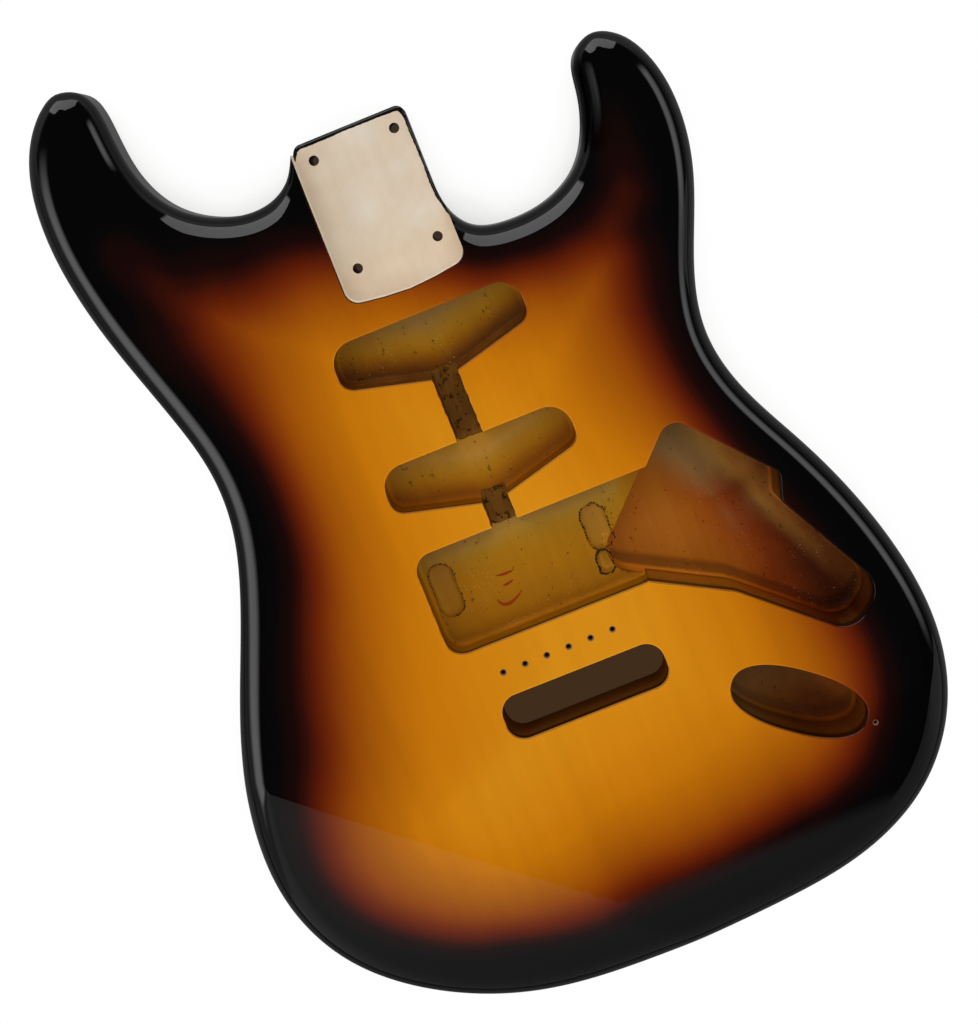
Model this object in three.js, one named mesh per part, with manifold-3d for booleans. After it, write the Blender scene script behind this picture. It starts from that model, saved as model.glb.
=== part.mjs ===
// Bare solid electric guitar body, offset double cutaway, glued up from five pieces of wood
// Millimetres. +X to the treble side, +Y to the neck, +Z out of the top face, z = 0 on the back face.
// The origin is on the centreline, where the square end of the neck pocket begins.
import * as THREE from 'three';
import { mergeVertices } from 'three/addons/utils/BufferGeometryUtils.js';
import Module from 'manifold-3d';

const wasm = await Module();
wasm.setup();

// Overall sizes
const bodyWidth = 324;
const bodyLength = 463.5;
const bodyDepth = 44.5;
const edgeRadius = 12;
const overrun = 8;

// Neck pocket and the heel round it
const pocketLength = 73.2;
const pocketEndWidth = 55.4;
const pocketMouthWidth = 53.4;
const pocketDepth = 16;
const pocketCornerRadius = 6.5;
const pocketEndSag = 3.8;
const pocketEndRadius = 87;
const heelWidth = 52;
const heelCornerRadius = 4;
const heelFlankRise = 14.4;
const heelShoulderWidth = 6.7;
const heelShoulderRiseShare = 0.34;
const heelShoulderAngle = THREE.MathUtils.degToRad(60);
const neckScrewSpacingX = 38.1;
const neckScrewSpacingY = 50.8;
const neckScrewMargin = 8.9;
const neckScrewHole = 4.6;

// Pickup routs and the wire channels between them
const routDepth = 19;
const routOffset = 0.4;
const pickupRoutWidth = 88;
const pickupRoutTop = 14.2;
const pickupRoutShoulder = 19.3;
const pickupRoutApex = 30.6;
const pickupUpperRadius = 10.5;
const pickupLowerRadius = 7;
const pickupPitch = 58.8;
const channelWidth = 12;

// Bridge pickup rout, its two leg recesses and the notch that leads to the earth wire's hole
const bridgeRoutTop = 114.3;
const bridgeRoutHeight = 48.2;
const bridgeRoutReach = 45.3;
const bridgeRoutRadius = 8.5;
const legRecessWidth = 11.7;
const bassLegRecessLength = 25.2;
const trebleLegRecessLength = 21.4;
const legRecessSpacing = 73.9;
const legRecessSetback = 9;
const legRecessExtraDepth = 6;
const wireNotchLength = 11.7;
const wireNotchWidth = 7.2;
const wireNotchExtraDepth = 4;
const earthWireHole = 6;
const jackWireHole = 8;

// Tremolo slot, its screws and the spring bay behind it
const bridgeScrewLine = 176.8;
const bridgeScrewPitch = 10.5;
const bridgeScrewCount = 6;
const bridgeScrewHole = 3;
const bridgeScrewDepth = 18;
const slotLength = 77.3;
const slotWidth = 20.7;
const slotOffset = 4.6;
const slotSetback = 11.5;
const slotRadius = 8.5;
const springBayWidth = 57;
const springBayLength = 92;
const springBayDepth = 16;
const blockBayMargin = 4.5;

// Control cavity and jack cavity
const cavityFloor = 6.5;
const controlApexRadius = 8;
const controlLeftRadius = 11;
const controlNotchRadius = 5;
const controlEndRadius = 12;
const controlBendRadius = 20;
const jackLength = 63.4;
const jackWidth = 28.1;
const jackAngle = THREE.MathUtils.degToRad(-37.5);
const jackSquareness = 2.34;
const jackScrewHole = 2.6;
const jackScrewDepth = 12;

// Contours planed into the lower bass side of the top and the waist of the back
const forearmFall = 13;
const forearmReach = 70;
const forearmBlend = 10;
const bellyDepth = 16;
const bellyReach = 62;
const bellyHalfSpan = 95;
const bellyBlendShare = 0.2;

// Glue lines: the inner bass one runs beside the neck screws, the others follow the body's width
const screwToSeam = 5.9;
const wingSeamShare = -0.3534;
const trebleSeamShare = 0.222;

// The outline runs from the heel round the bass side to the tail and back up the treble side.
// Each knot is a share of the body's width across and of its length along.
const outlineShares = [
  [-0.138, 0.117], [-0.210, 0.124], [-0.262, 0.151], [-0.291, 0.194], [-0.298, 0.240],
  [-0.314, 0.277], [-0.344, 0.285], [-0.385, 0.269], [-0.419, 0.230], [-0.434, 0.170],
  [-0.425, 0.098], [-0.372, -0.034], [-0.351, -0.100], [-0.353, -0.152], [-0.376, -0.211],
  [-0.460, -0.352], [-0.494, -0.440], [-0.496, -0.525], [-0.452, -0.603], [-0.353, -0.666],
  [-0.204, -0.706], [-0.044, -0.7125], [0.153, -0.7045], [0.287, -0.689], [0.406, -0.646],
  [0.478, -0.577], [0.502, -0.493], [0.486, -0.408], [0.416, -0.279], [0.368, -0.209],
  [0.351, -0.150], [0.363, -0.099], [0.414, -0.002], [0.426, 0.062], [0.410, 0.116],
  [0.383, 0.142], [0.348, 0.1505], [0.320, 0.139], [0.308, 0.108], [0.295, 0.074],
  [0.263, 0.040], [0.209, 0.021], [0.153, 0.018], [0.108, 0.027], [0.087, 0.047],
];
const controlCavityShares = [
  { at: [0.0907, -0.327], radius: controlLeftRadius },
  { at: [0.259, -0.391], radius: controlBendRadius },
  { at: [0.389, -0.4715], radius: controlEndRadius },
  { at: [0.4475, -0.439], radius: controlEndRadius },
  { at: [0.361, -0.327], radius: controlNotchRadius },
  { at: [0.3735, -0.2995], radius: controlNotchRadius },
  { at: [0.259, -0.2095], radius: controlApexRadius },
];
const jackCentreShare = [0.284, -0.5156];
const jackScrewShare = [0.3716, -0.5627];
const jackWireStartShare = [0.352, -0.440];
const jackWireEndShare = [0.322, -0.502];
const waistShare = [-0.351, -0.124];
const forearmStartShare = [-0.457, -0.401];
const forearmEndShare = [0.056, -0.716];

// Fineness of the curves
const turnPerStep = THREE.MathUtils.degToRad(10);
const edgeSteps = 4;
const cornerSegments = 3;
const holeSegments = 6;
const radiusLimitShare = 0.75;
const radiusRampShare = 0.35;
const bellySpanSteps = 10;
const bellyReachSteps = 3;
const samePlace = 0.04;

const onBody = ([across, along]) => new THREE.Vector2(across * bodyWidth, along * bodyLength);

// Directions at the knots that make the curve's bend change without a jump
function knotDirections(knots, startDirection, endDirection) {
  const last = knots.length - 1;
  const spans = knots.slice(1).map((knot, i) => knot.distanceTo(knots[i]));
  const directions = knots.map(() => new THREE.Vector2());
  directions[0].copy(startDirection);
  directions[last].copy(endDirection);
  const sweeps = 40;
  for (let sweep = 0; sweep < sweeps; sweep++) {
    for (let i = 1; i < last; i++) {
      const [a, b] = [spans[i - 1], spans[i]];
      directions[i].set(0, 0)
        .addScaledVector(knots[i], (3 * b) / a - (3 * a) / b)
        .addScaledVector(knots[i - 1], (-3 * b) / a)
        .addScaledVector(knots[i + 1], (3 * a) / b)
        .addScaledVector(directions[i - 1], -b)
        .addScaledVector(directions[i + 1], -a)
        .divideScalar(2 * (a + b));
    }
  }
  return directions;
}

// Points along the smooth curve, closer together where it turns more; the last knot is left out
function smoothCurve(knots, startDirection, endDirection) {
  const directions = knotDirections(knots, startDirection, endDirection);
  const points = [];
  for (let i = 0; i < knots.length - 1; i++) {
    const span = knots[i].distanceTo(knots[i + 1]);
    const chord = knots[i + 1].clone().sub(knots[i]);
    const turn = Math.abs(turnBetween(directions[i], chord)) + Math.abs(turnBetween(chord, directions[i + 1]));
    const steps = Math.max(2, Math.ceil(turn / turnPerStep));
    for (let j = 0; j < steps; j++) {
      const t = j / steps;
      points.push(new THREE.Vector2()
        .addScaledVector(knots[i], 2 * t ** 3 - 3 * t ** 2 + 1)
        .addScaledVector(directions[i], (t ** 3 - 2 * t ** 2 + t) * span)
        .addScaledVector(knots[i + 1], 3 * t ** 2 - 2 * t ** 3)
        .addScaledVector(directions[i + 1], (t ** 3 - t ** 2) * span));
    }
  }
  return points;
}

function turnBetween(a, b) {
  return Math.atan2(a.x * b.y - a.y * b.x, a.x * b.x + a.y * b.y);
}

function arc(centre, radius, from, to) {
  const steps = Math.ceil(Math.abs(to - from) / (2 * turnPerStep));
  const points = [];
  for (let i = 0; i <= steps; i++) {
    const angle = from + ((to - from) * i) / steps;
    points.push(new THREE.Vector2(centre.x + radius * Math.cos(angle), centre.y + radius * Math.sin(angle)));
  }
  return points;
}

// The body's outline, counterclockwise seen from the top
function bodyOutline() {
  const half = heelWidth / 2;
  const cornerY = pocketLength - heelCornerRadius;
  const bassCorner = new THREE.Vector2(heelCornerRadius * Math.sin(heelShoulderAngle) - half, cornerY);
  const trebleCorner = new THREE.Vector2(half - heelCornerRadius, cornerY);
  const bassArc = arc(bassCorner, heelCornerRadius, Math.PI / 2, Math.PI / 2 + heelShoulderAngle);
  const shaped = outlineShares.map(onBody);
  const shoulderY = shaped[0].y + heelShoulderRiseShare * (pocketLength - shaped[0].y);
  const knots = [
    bassArc.pop(),
    new THREE.Vector2(-half - heelShoulderWidth, shoulderY),
    ...shaped,
    new THREE.Vector2(half, shaped.at(-1).y + heelFlankRise),
  ];
  const shoulder = new THREE.Vector2(-Math.cos(heelShoulderAngle), -Math.sin(heelShoulderAngle));
  const flank = smoothCurve(knots, shoulder, new THREE.Vector2(0, 1));
  return [...bassArc, ...flank, knots.at(-1), ...arc(trebleCorner, heelCornerRadius, 0, Math.PI / 2)];
}

// How far the rounded edge can reach in at each point: less near a tight outside corner
function edgeRadii(outline) {
  const count = outline.length;
  const gaps = outline.map((point, i) => point.distanceTo(outline[(i + 1) % count]));
  const radii = outline.map((point, i) => {
    const before = outline[(i + count - 1) % count];
    const after = outline[(i + 1) % count];
    const turn = turnBetween(point.clone().sub(before), after.clone().sub(point));
    const reach = (gaps[i] + gaps[(i + count - 1) % count]) / 2;
    return turn > 0 ? Math.min(edgeRadius, (radiusLimitShare * reach) / turn) : edgeRadius;
  });
  const rounds = 2;
  for (let i = 1; i < rounds * count; i++) {
    const [a, b] = [(i - 1) % count, i % count];
    radii[b] = Math.min(radii[b], radii[a] + radiusRampShare * gaps[a]);
  }
  for (let i = rounds * count; i > 0; i--) {
    const [a, b] = [(i - 1) % count, i % count];
    radii[a] = Math.min(radii[a], radii[b] + radiusRampShare * gaps[a]);
  }
  return radii;
}

function inwardNormals(outline) {
  const count = outline.length;
  return outline.map((point, i) => {
    const arriving = point.clone().sub(outline[(i + count - 1) % count]).normalize();
    const leaving = outline[(i + 1) % count].clone().sub(point).normalize();
    const along = arriving.add(leaving).normalize();
    return new THREE.Vector2(-along.y, along.x);
  });
}

// A flat plate of the outline with both edges rounded, as one closed solid
function roundedPlate() {
  const outline = bodyOutline();
  const radii = edgeRadii(outline);
  const normals = inwardNormals(outline);
  const ring = (angle, side) => outline.map((point, i) => {
    const inset = radii[i] * (1 - Math.cos(angle));
    const height = radii[i] * (1 - Math.sin(angle));
    const z = side > 0 ? bodyDepth - height : height;
    return [point.x + normals[i].x * inset, point.y + normals[i].y * inset, z];
  });
  const rings = [];
  for (let step = edgeSteps; step >= 0; step--) rings.push(ring((step / edgeSteps) * (Math.PI / 2), -1));
  for (let step = 0; step <= edgeSteps; step++) rings.push(ring((step / edgeSteps) * (Math.PI / 2), 1));
  const count = outline.length;
  const triangles = [];
  for (let level = 0; level < rings.length - 1; level++) {
    for (let i = 0; i < count; i++) {
      const next = (i + 1) % count;
      const [a, b] = [level * count + i, level * count + next];
      triangles.push([a, b, b + count], [a, b + count, a + count]);
    }
  }
  const lastRing = (rings.length - 1) * count;
  const cap = (points) => THREE.ShapeUtils.triangulateShape(points.map(([x, y]) => new THREE.Vector2(x, y)), []);
  cap(rings[0]).forEach(([a, b, c]) => triangles.push([a, c, b]));
  cap(rings.at(-1)).forEach(([a, b, c]) => triangles.push([lastRing + a, lastRing + b, lastRing + c]));
  return solidFrom({ vertices: rings.flat(), triangles });
}

function solidFrom({ vertices, triangles }) {
  return new wasm.Manifold(new wasm.Mesh({
    numProp: 3,
    vertProperties: Float32Array.from(vertices.flat()),
    triVerts: Uint32Array.from(triangles.flat()),
  }));
}

function solidFromGeometry(geometry) {
  const bare = geometry.clone();
  bare.deleteAttribute('normal');
  bare.deleteAttribute('uv');
  const merged = mergeVertices(bare);
  return new wasm.Manifold(new wasm.Mesh({
    numProp: 3,
    vertProperties: Float32Array.from(merged.attributes.position.array),
    triVerts: Uint32Array.from(merged.index.array),
  }));
}

function listsFrom(solid) {
  const { vertProperties, triVerts, numProp } = solid.getMesh();
  const vertices = [];
  for (let i = 0; i < vertProperties.length; i += numProp) {
    vertices.push([vertProperties[i], vertProperties[i + 1], vertProperties[i + 2]]);
  }
  const triangles = [];
  for (let i = 0; i < triVerts.length; i += 3) triangles.push([triVerts[i], triVerts[i + 1], triVerts[i + 2]]);
  return { vertices, triangles };
}

// Adds corners where edges cross the upright plane across.x + along.y = distance, if the contour
// that needs them reaches there
function score({ vertices, triangles }, { across, along, distance, reaches }) {
  const sides = vertices.map(([x, y]) => {
    const gap = across * x + along * y - distance;
    return Math.abs(gap) < samePlace ? 0 : gap;
  });
  const cuts = new Map();
  const cut = (from, to) => {
    const [a, b] = [Math.min(from, to), Math.max(from, to)];
    const key = `${a} ${b}`;
    if (!cuts.has(key)) {
      const share = sides[a] / (sides[a] - sides[b]);
      const point = vertices[a].map((value, i) => value + (vertices[b][i] - value) * share);
      const needed = sides[a] * sides[b] < 0 && reaches(point);
      if (needed) {
        vertices.push(point);
        sides.push(0);
      }
      cuts.set(key, needed ? vertices.length - 1 : null);
    }
    return cuts.get(key);
  };
  const scored = triangles.flatMap((triangle) => {
    const between = triangle.map((a, i) => cut(a, triangle[(i + 1) % 3]));
    const found = between.filter((corner) => corner !== null).length;
    if (found === 0) return [triangle];
    const first = found === 1 ? between.findIndex((corner) => corner !== null)
      : (between.indexOf(null) + 2) % 3;
    const [a, b, c] = [0, 1, 2].map((i) => triangle[(first + i) % 3]);
    const [ab, ca] = [between[first], between[(first + 2) % 3]];
    if (found === 1) return [[a, ab, c], [ab, b, c]];
    return [[a, ab, ca], [ab, b, c], [ab, c, ca]];
  });
  return { vertices, triangles: scored };
}

// Forearm contour: a bevel past a straight crease, with a soft start
const forearmStart = onBody(forearmStartShare);
const forearmRun = onBody(forearmEndShare).sub(forearmStart).normalize();
const forearmOut = new THREE.Vector2(forearmRun.y, -forearmRun.x);

function forearmDrop(x, y) {
  const past = forearmOut.x * x + forearmOut.y * y - forearmOut.dot(forearmStart);
  const slope = forearmFall / forearmReach;
  if (past <= -forearmBlend) return 0;
  if (past >= forearmBlend) return slope * past;
  return (slope * (past + forearmBlend) ** 2) / (4 * forearmBlend);
}

// Belly contour: a scoop that is deepest at the waist's edge and fades along both ways
const waist = onBody(waistShare);

function bellyRise(x, y) {
  const depth = 1 - (x - waist.x) / bellyReach - ((y - waist.y) / bellyHalfSpan) ** 2;
  if (depth <= 0) return 0;
  if (depth < bellyBlendShare) return (bellyDepth * depth ** 2) / (2 * bellyBlendShare);
  return bellyDepth * (depth - bellyBlendShare / 2);
}

function forearmPlanes() {
  const shares = [-1, -1 / 2, 0, 1 / 2, 1];
  const crease = forearmOut.dot(forearmStart);
  const reaches = ([, , z]) => z > 0;
  return shares.map((share) => (
    { across: forearmOut.x, along: forearmOut.y, distance: crease + share * forearmBlend, reaches }
  ));
}

function bellyPlanes() {
  const span = bellyHalfSpan * Math.sqrt(2);
  const reaches = ([x, y, z]) => (
    z < bodyDepth && x < waist.x + bellyReach + samePlace && Math.abs(y - waist.y) < span + samePlace
  );
  const planes = [];
  for (let i = bellyReachSteps; i >= 0; i--) {
    planes.push({ across: 1, along: 0, distance: waist.x + (bellyReach * i) / bellyReachSteps, reaches });
  }
  for (let i = 0; i <= bellySpanSteps; i++) {
    const distance = waist.y + span * ((2 * i) / bellySpanSteps - 1);
    planes.push({ across: 0, along: 1, distance, reaches });
  }
  return planes;
}

// Presses the two faces of a plate to the contours and keeps its edges rounded
function contoured(solid, planes) {
  const lists = planes.reduce(score, listsFrom(solid));
  lists.vertices.forEach((vertex) => {
    const low = bellyRise(vertex[0], vertex[1]);
    const high = bodyDepth - forearmDrop(vertex[0], vertex[1]);
    vertex[2] = low + ((high - low) * vertex[2]) / bodyDepth;
  });
  return solidFrom(lists);
}

// A closed path with its corners rounded; each corner is a point and a radius
function roundedPath(corners) {
  const shape = new THREE.Shape();
  corners.forEach(({ at, radius }, i) => {
    const toBefore = corners.at(i - 1).at.clone().sub(at).normalize();
    const toAfter = corners[(i + 1) % corners.length].at.clone().sub(at).normalize();
    const half = Math.abs(turnBetween(toBefore, toAfter)) / 2;
    const middle = toBefore.clone().add(toAfter).normalize().multiplyScalar(radius / Math.sin(half)).add(at);
    const start = toBefore.clone().multiplyScalar(radius / Math.tan(half)).add(at).sub(middle);
    const end = toAfter.clone().multiplyScalar(radius / Math.tan(half)).add(at).sub(middle);
    shape.absarc(middle.x, middle.y, radius, start.angle(), end.angle(), turnBetween(start, end) < 0);
  });
  return shape;
}

function corner(x, y, radius) {
  return { at: new THREE.Vector2(x, y), radius };
}

function roundedBox(x0, x1, y0, y1, radius) {
  return roundedPath([
    corner(x0, y0, radius), corner(x1, y0, radius), corner(x1, y1, radius), corner(x0, y1, radius),
  ]);
}

function prism(shape, z0, z1, curveSegments = cornerSegments) {
  const geometry = new THREE.ExtrudeGeometry(shape, { depth: z1 - z0, bevelEnabled: false, curveSegments });
  geometry.translate(0, 0, z0);
  return solidFromGeometry(geometry);
}

// An upright block, wider than the plate is thick, with its sides exactly at the given places
function block(x0, x1, y0, y1) {
  const corners = [[x0, y0], [x1, y0], [x1, y1], [x0, y1]].map(([x, y]) => new THREE.Vector2(x, y));
  return prism(new THREE.Shape(corners), -overrun, bodyDepth + overrun);
}

// A rout from the top face down to a depth
function rout(shape, depth) {
  return prism(shape, bodyDepth - depth, bodyDepth + overrun);
}

function hole(x, y, diameter, z0, z1) {
  const shape = new THREE.Shape().absarc(x, y, diameter / 2, 0, 2 * Math.PI);
  return prism(shape, z0, z1, holeSegments);
}

function slantedHole(from, to, diameter) {
  const along = to.clone().sub(from);
  const geometry = new THREE.CylinderGeometry(diameter / 2, diameter / 2, along.length(), 2 * holeSegments);
  geometry.applyQuaternion(new THREE.Quaternion().setFromUnitVectors(
    new THREE.Vector3(0, 1, 0), along.normalize()));
  geometry.translate((from.x + to.x) / 2, (from.y + to.y) / 2, (from.z + to.z) / 2);
  return solidFromGeometry(geometry);
}

function neckPocket() {
  const mouth = pocketLength + overrun;
  const lip = pocketEndSag / 10;
  return [rout(roundedPath([
    corner(-pocketEndWidth / 2, lip, pocketCornerRadius),
    corner(0, lip - pocketEndSag, pocketEndRadius),
    corner(pocketEndWidth / 2, lip, pocketCornerRadius),
    corner(pocketMouthWidth / 2, mouth, pocketCornerRadius / 10),
    corner(-pocketMouthWidth / 2, mouth, pocketCornerRadius / 10),
  ]), pocketDepth)];
}

function neckScrewHoles() {
  const outer = pocketLength - neckScrewMargin;
  return [outer - neckScrewSpacingY, outer].flatMap((y) => [-1, 1].map((side) => (
    hole((side * neckScrewSpacingX) / 2, y, neckScrewHole, -overrun, bodyDepth - pocketDepth / 2)
  )));
}

function pickupRout(top) {
  const [x0, x1] = [-pickupRoutWidth / 2 - routOffset, pickupRoutWidth / 2 - routOffset];
  return rout(roundedPath([
    corner(x0, top, pickupUpperRadius),
    corner(x0, top - pickupRoutShoulder, pickupLowerRadius),
    corner(-routOffset, top - pickupRoutApex, pickupLowerRadius),
    corner(x1, top - pickupRoutShoulder, pickupLowerRadius),
    corner(x1, top, pickupUpperRadius),
  ]), routDepth);
}

function pickupRouts() {
  const neckTop = -pickupRoutTop;
  const middleTop = neckTop - pickupPitch;
  const channel = roundedBox(
    -channelWidth / 2 - routOffset, channelWidth / 2 - routOffset,
    -bridgeRoutTop - channelWidth / 2, neckTop - pickupRoutShoulder, channelWidth / 4);
  return [pickupRout(neckTop), pickupRout(middleTop), rout(channel, routDepth)];
}

// The right-hand end of the bridge rout runs into the control cavity
function bridgeRout() {
  const [left, top, bottom] = [-bridgeRoutReach, -bridgeRoutTop, -bridgeRoutTop - bridgeRoutHeight];
  const [rightTop, rightBottom] = [onBody([0.205, 0]).x, onBody([0.155, 0]).x];
  const recessBass = -legRecessSpacing / 2 - routOffset;
  const recessTreble = legRecessSpacing / 2 - routOffset;
  const recessTop = top - legRecessSetback;
  const recess = (x, length, width, from) => (
    roundedBox(x - width / 2, x + width / 2, from - length, from, width / 2.1)
  );
  const notchX = recessTreble - (legRecessWidth - wireNotchWidth) / 2;
  return [
    rout(roundedPath([
      corner(left, bottom, bridgeRoutRadius),
      corner(rightBottom, bottom, bridgeRoutRadius / 10),
      corner(rightTop, top, bridgeRoutRadius / 10),
      corner(left, top, bridgeRoutRadius),
    ]), routDepth),
    rout(recess(recessBass, bassLegRecessLength, legRecessWidth, recessTop), routDepth + legRecessExtraDepth),
    rout(recess(recessTreble, trebleLegRecessLength, legRecessWidth, recessTop), routDepth + legRecessExtraDepth),
    rout(recess(notchX, wireNotchLength, wireNotchWidth, recessTop - trebleLegRecessLength),
      routDepth + wireNotchExtraDepth),
  ];
}

function bridgeScrewHoles() {
  const first = (-bridgeScrewPitch * (bridgeScrewCount - 1)) / 2;
  return Array.from({ length: bridgeScrewCount }, (_, i) => (
    hole(first + i * bridgeScrewPitch, -bridgeScrewLine, bridgeScrewHole, bodyDepth - bridgeScrewDepth,
      bodyDepth + overrun)
  ));
}

// The slot goes right through into the bay that holds the tremolo's block and springs
function tremoloSlotAndSpringBay() {
  const [x0, x1] = [slotOffset - slotLength / 2, slotOffset + slotLength / 2];
  const slotTop = -bridgeScrewLine - slotSetback;
  const slot = roundedBox(x0, x1, slotTop - slotWidth, slotTop, slotRadius);
  const blockBay = roundedBox(x0 - blockBayMargin, x1 + blockBayMargin,
    slotTop - slotWidth - blockBayMargin, slotTop + blockBayMargin, slotRadius);
  const springBay = roundedBox(-springBayWidth / 2, springBayWidth / 2,
    slotTop - slotWidth / 2, slotTop + springBayLength, slotRadius / 2);
  return [
    prism(slot, -overrun, bodyDepth + overrun),
    prism(blockBay, -overrun, springBayDepth),
    prism(springBay, -overrun, springBayDepth),
  ];
}

function controlCavity() {
  const shape = roundedPath(controlCavityShares.map(({ at, radius }) => ({ at: onBody(at), radius })));
  return [rout(shape, bodyDepth - cavityFloor)];
}

function jackCavity() {
  const centre = onBody(jackCentreShare);
  const steps = 8 * cornerSegments;
  const points = Array.from({ length: steps }, (_, i) => {
    const angle = (2 * Math.PI * i) / steps;
    const bulge = (value) => Math.sign(value) * Math.abs(value) ** (2 / jackSquareness);
    return new THREE.Vector2((jackLength / 2) * bulge(Math.cos(angle)), (jackWidth / 2) * bulge(Math.sin(angle)))
      .rotateAround(new THREE.Vector2(), jackAngle).add(centre);
  });
  const screw = onBody(jackScrewShare);
  return [
    rout(new THREE.Shape(points), bodyDepth - cavityFloor),
    hole(screw.x, screw.y, jackScrewHole, bodyDepth - jackScrewDepth, bodyDepth + overrun),
  ];
}

// Drilled ways for the earth wire to the spring bay and for the jack's wires
function wireHoles() {
  const notchX = legRecessSpacing / 2 - legRecessWidth / 2;
  const notchY = -bridgeRoutTop - legRecessSetback - trebleLegRecessLength - wireNotchLength / 2;
  const notchFloor = bodyDepth - routDepth - wireNotchExtraDepth;
  const height = cavityFloor + jackWireHole;
  const [start, end] = [onBody(jackWireStartShare), onBody(jackWireEndShare)];
  return [
    slantedHole(
      new THREE.Vector3(notchX + earthWireHole / 2, notchY, notchFloor + earthWireHole / 2),
      new THREE.Vector3(springBayWidth / 2 - earthWireHole, notchY, springBayDepth / 3),
      earthWireHole),
    slantedHole(
      new THREE.Vector3(start.x, start.y, height), new THREE.Vector3(end.x, end.y, height), jackWireHole),
  ];
}

// Every cut that is made after the blank is glued up and shaped
const cuts = [
  ...neckPocket(), ...neckScrewHoles(), ...pickupRouts(), ...bridgeRout(), ...bridgeScrewHoles(),
  ...tremoloSlotAndSpringBay(), ...controlCavity(), ...jackCavity(), ...wireHoles(),
];

// The five pieces of wood, divided by the glue lines and, on the bass side, by the waist
const wingSeam = wingSeamShare * bodyWidth;
const bassSeam = -neckScrewSpacingX / 2 - screwToSeam;
const trebleSeam = trebleSeamShare * bodyWidth;
const pieces = [
  { name: 'bass_horn_wing', area: [-bodyWidth, wingSeam, waist.y, bodyLength], tone: '#b9740c', belly: true },
  { name: 'bass_bout_wing', area: [-bodyWidth, wingSeam, -bodyLength, waist.y], tone: '#b4700c', belly: true },
  { name: 'bass_board', area: [wingSeam, bassSeam, -bodyLength, bodyLength], tone: '#c58210', belly: true },
  { name: 'centre_board', area: [bassSeam, trebleSeam, -bodyLength, bodyLength], tone: '#cc8a12', belly: false },
  { name: 'treble_board', area: [trebleSeam, bodyWidth, -bodyLength, bodyLength], tone: '#c17c0e', belly: false },
];

function woodPiece({ name, area, tone, belly }, plate) {
  const planes = belly ? [...forearmPlanes(), ...bellyPlanes()] : forearmPlanes();
  const blank = contoured(plate.intersect(block(...area)), planes);
  const { vertProperties, triVerts } = cuts.reduce((wood, cutter) => wood.subtract(cutter), blank).getMesh();
  const geometry = new THREE.BufferGeometry();
  geometry.setAttribute('position', new THREE.BufferAttribute(Float32Array.from(vertProperties), 3));
  geometry.setIndex(new THREE.BufferAttribute(Uint32Array.from(triVerts), 1));
  geometry.computeVertexNormals();
  const material = new THREE.MeshStandardMaterial({ color: tone, roughness: 0.12, metalness: 0 });
  const mesh = new THREE.Mesh(geometry, material);
  mesh.name = name;
  return mesh;
}

const guitarBody = new THREE.Group();
guitarBody.name = 'guitar_body';
const plate = roundedPlate();
pieces.forEach((piece) => guitarBody.add(woodPiece(piece, plate)));

export default guitarBody;
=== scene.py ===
# Looks of a bare sunburst guitar body. Each glued piece of wood gets a fine mesh in place of its solid.
# Sizes are millimetres up to the mesh itself: +X to the treble side, +Y to the neck, +Z out of the top.
import math

import bpy
import numpy as np
from mathutils import Matrix, Vector, noise
from mathutils.geometry import delaunay_2d_cdt

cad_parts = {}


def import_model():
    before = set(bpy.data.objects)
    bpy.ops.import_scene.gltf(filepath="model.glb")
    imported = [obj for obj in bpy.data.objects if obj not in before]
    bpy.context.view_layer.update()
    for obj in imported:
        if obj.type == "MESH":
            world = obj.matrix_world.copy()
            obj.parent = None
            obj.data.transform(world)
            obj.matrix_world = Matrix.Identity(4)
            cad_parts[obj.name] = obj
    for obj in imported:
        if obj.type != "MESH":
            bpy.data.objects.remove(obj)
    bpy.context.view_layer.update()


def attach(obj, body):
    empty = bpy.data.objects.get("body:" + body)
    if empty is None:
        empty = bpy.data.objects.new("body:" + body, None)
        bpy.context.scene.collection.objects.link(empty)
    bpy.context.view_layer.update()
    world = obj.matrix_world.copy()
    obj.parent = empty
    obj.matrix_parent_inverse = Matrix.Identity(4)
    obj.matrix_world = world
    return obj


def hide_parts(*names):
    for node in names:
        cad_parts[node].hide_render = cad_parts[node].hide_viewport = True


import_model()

MM = 0.001

# Sizes shared with the solids
BODY_WIDTH, BODY_LENGTH, BODY_DEPTH = 324.0, 463.5, 44.5
EDGE_RADIUS, RADIUS_LIMIT_SHARE, RADIUS_RAMP_SHARE = 12.0, 0.75, 0.35
OVERRUN = 8.0
POCKET_LENGTH, POCKET_END_WIDTH, POCKET_MOUTH_WIDTH, POCKET_DEPTH = 73.2, 55.4, 53.4, 16.0
POCKET_CORNER_Y, POCKET_CORNER_RADIUS, POCKET_MOUTH_RADIUS = 0.38, 6.5, 0.65
POCKET_END_SAG, POCKET_END_RADIUS = 3.8, 87.0
NECK_SCREW_X, NECK_SCREW_YS, NECK_SCREW_HOLE = 19.05, (13.5, 64.3), 4.6
HEEL_WIDTH, HEEL_CORNER_RADIUS = 52.0, 4.0
HEEL_SHOULDER_WIDTH, HEEL_SHOULDER_RISE, HEEL_SHOULDER_ANGLE = 6.7, 0.34, math.radians(60)
HEEL_FLANK_RISE = 14.4
FOREARM_FALL, FOREARM_REACH, FOREARM_BLEND, FOREARM_SHIFT = 13.0, 70.0, 5.0, 2.5
BELLY_DEPTH, BELLY_REACH, BELLY_HALF_SPAN, BELLY_BLEND = 16.0, 62.0, 95.0, 0.2
ROUT_DEPTH, CAVITY_FLOOR, SPRING_BAY_DEPTH = 19.0, 6.5, 16.0
PICKUP_TOPS, PICKUP_OFFSET, PICKUP_HALF_WIDTH = (-14.2, -73.0), -0.4, 44.0
PICKUP_SHOULDER, PICKUP_APEX, PICKUP_UPPER_RADIUS, PICKUP_LOWER_RADIUS = 19.3, 30.6, 10.5, 7.0
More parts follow.
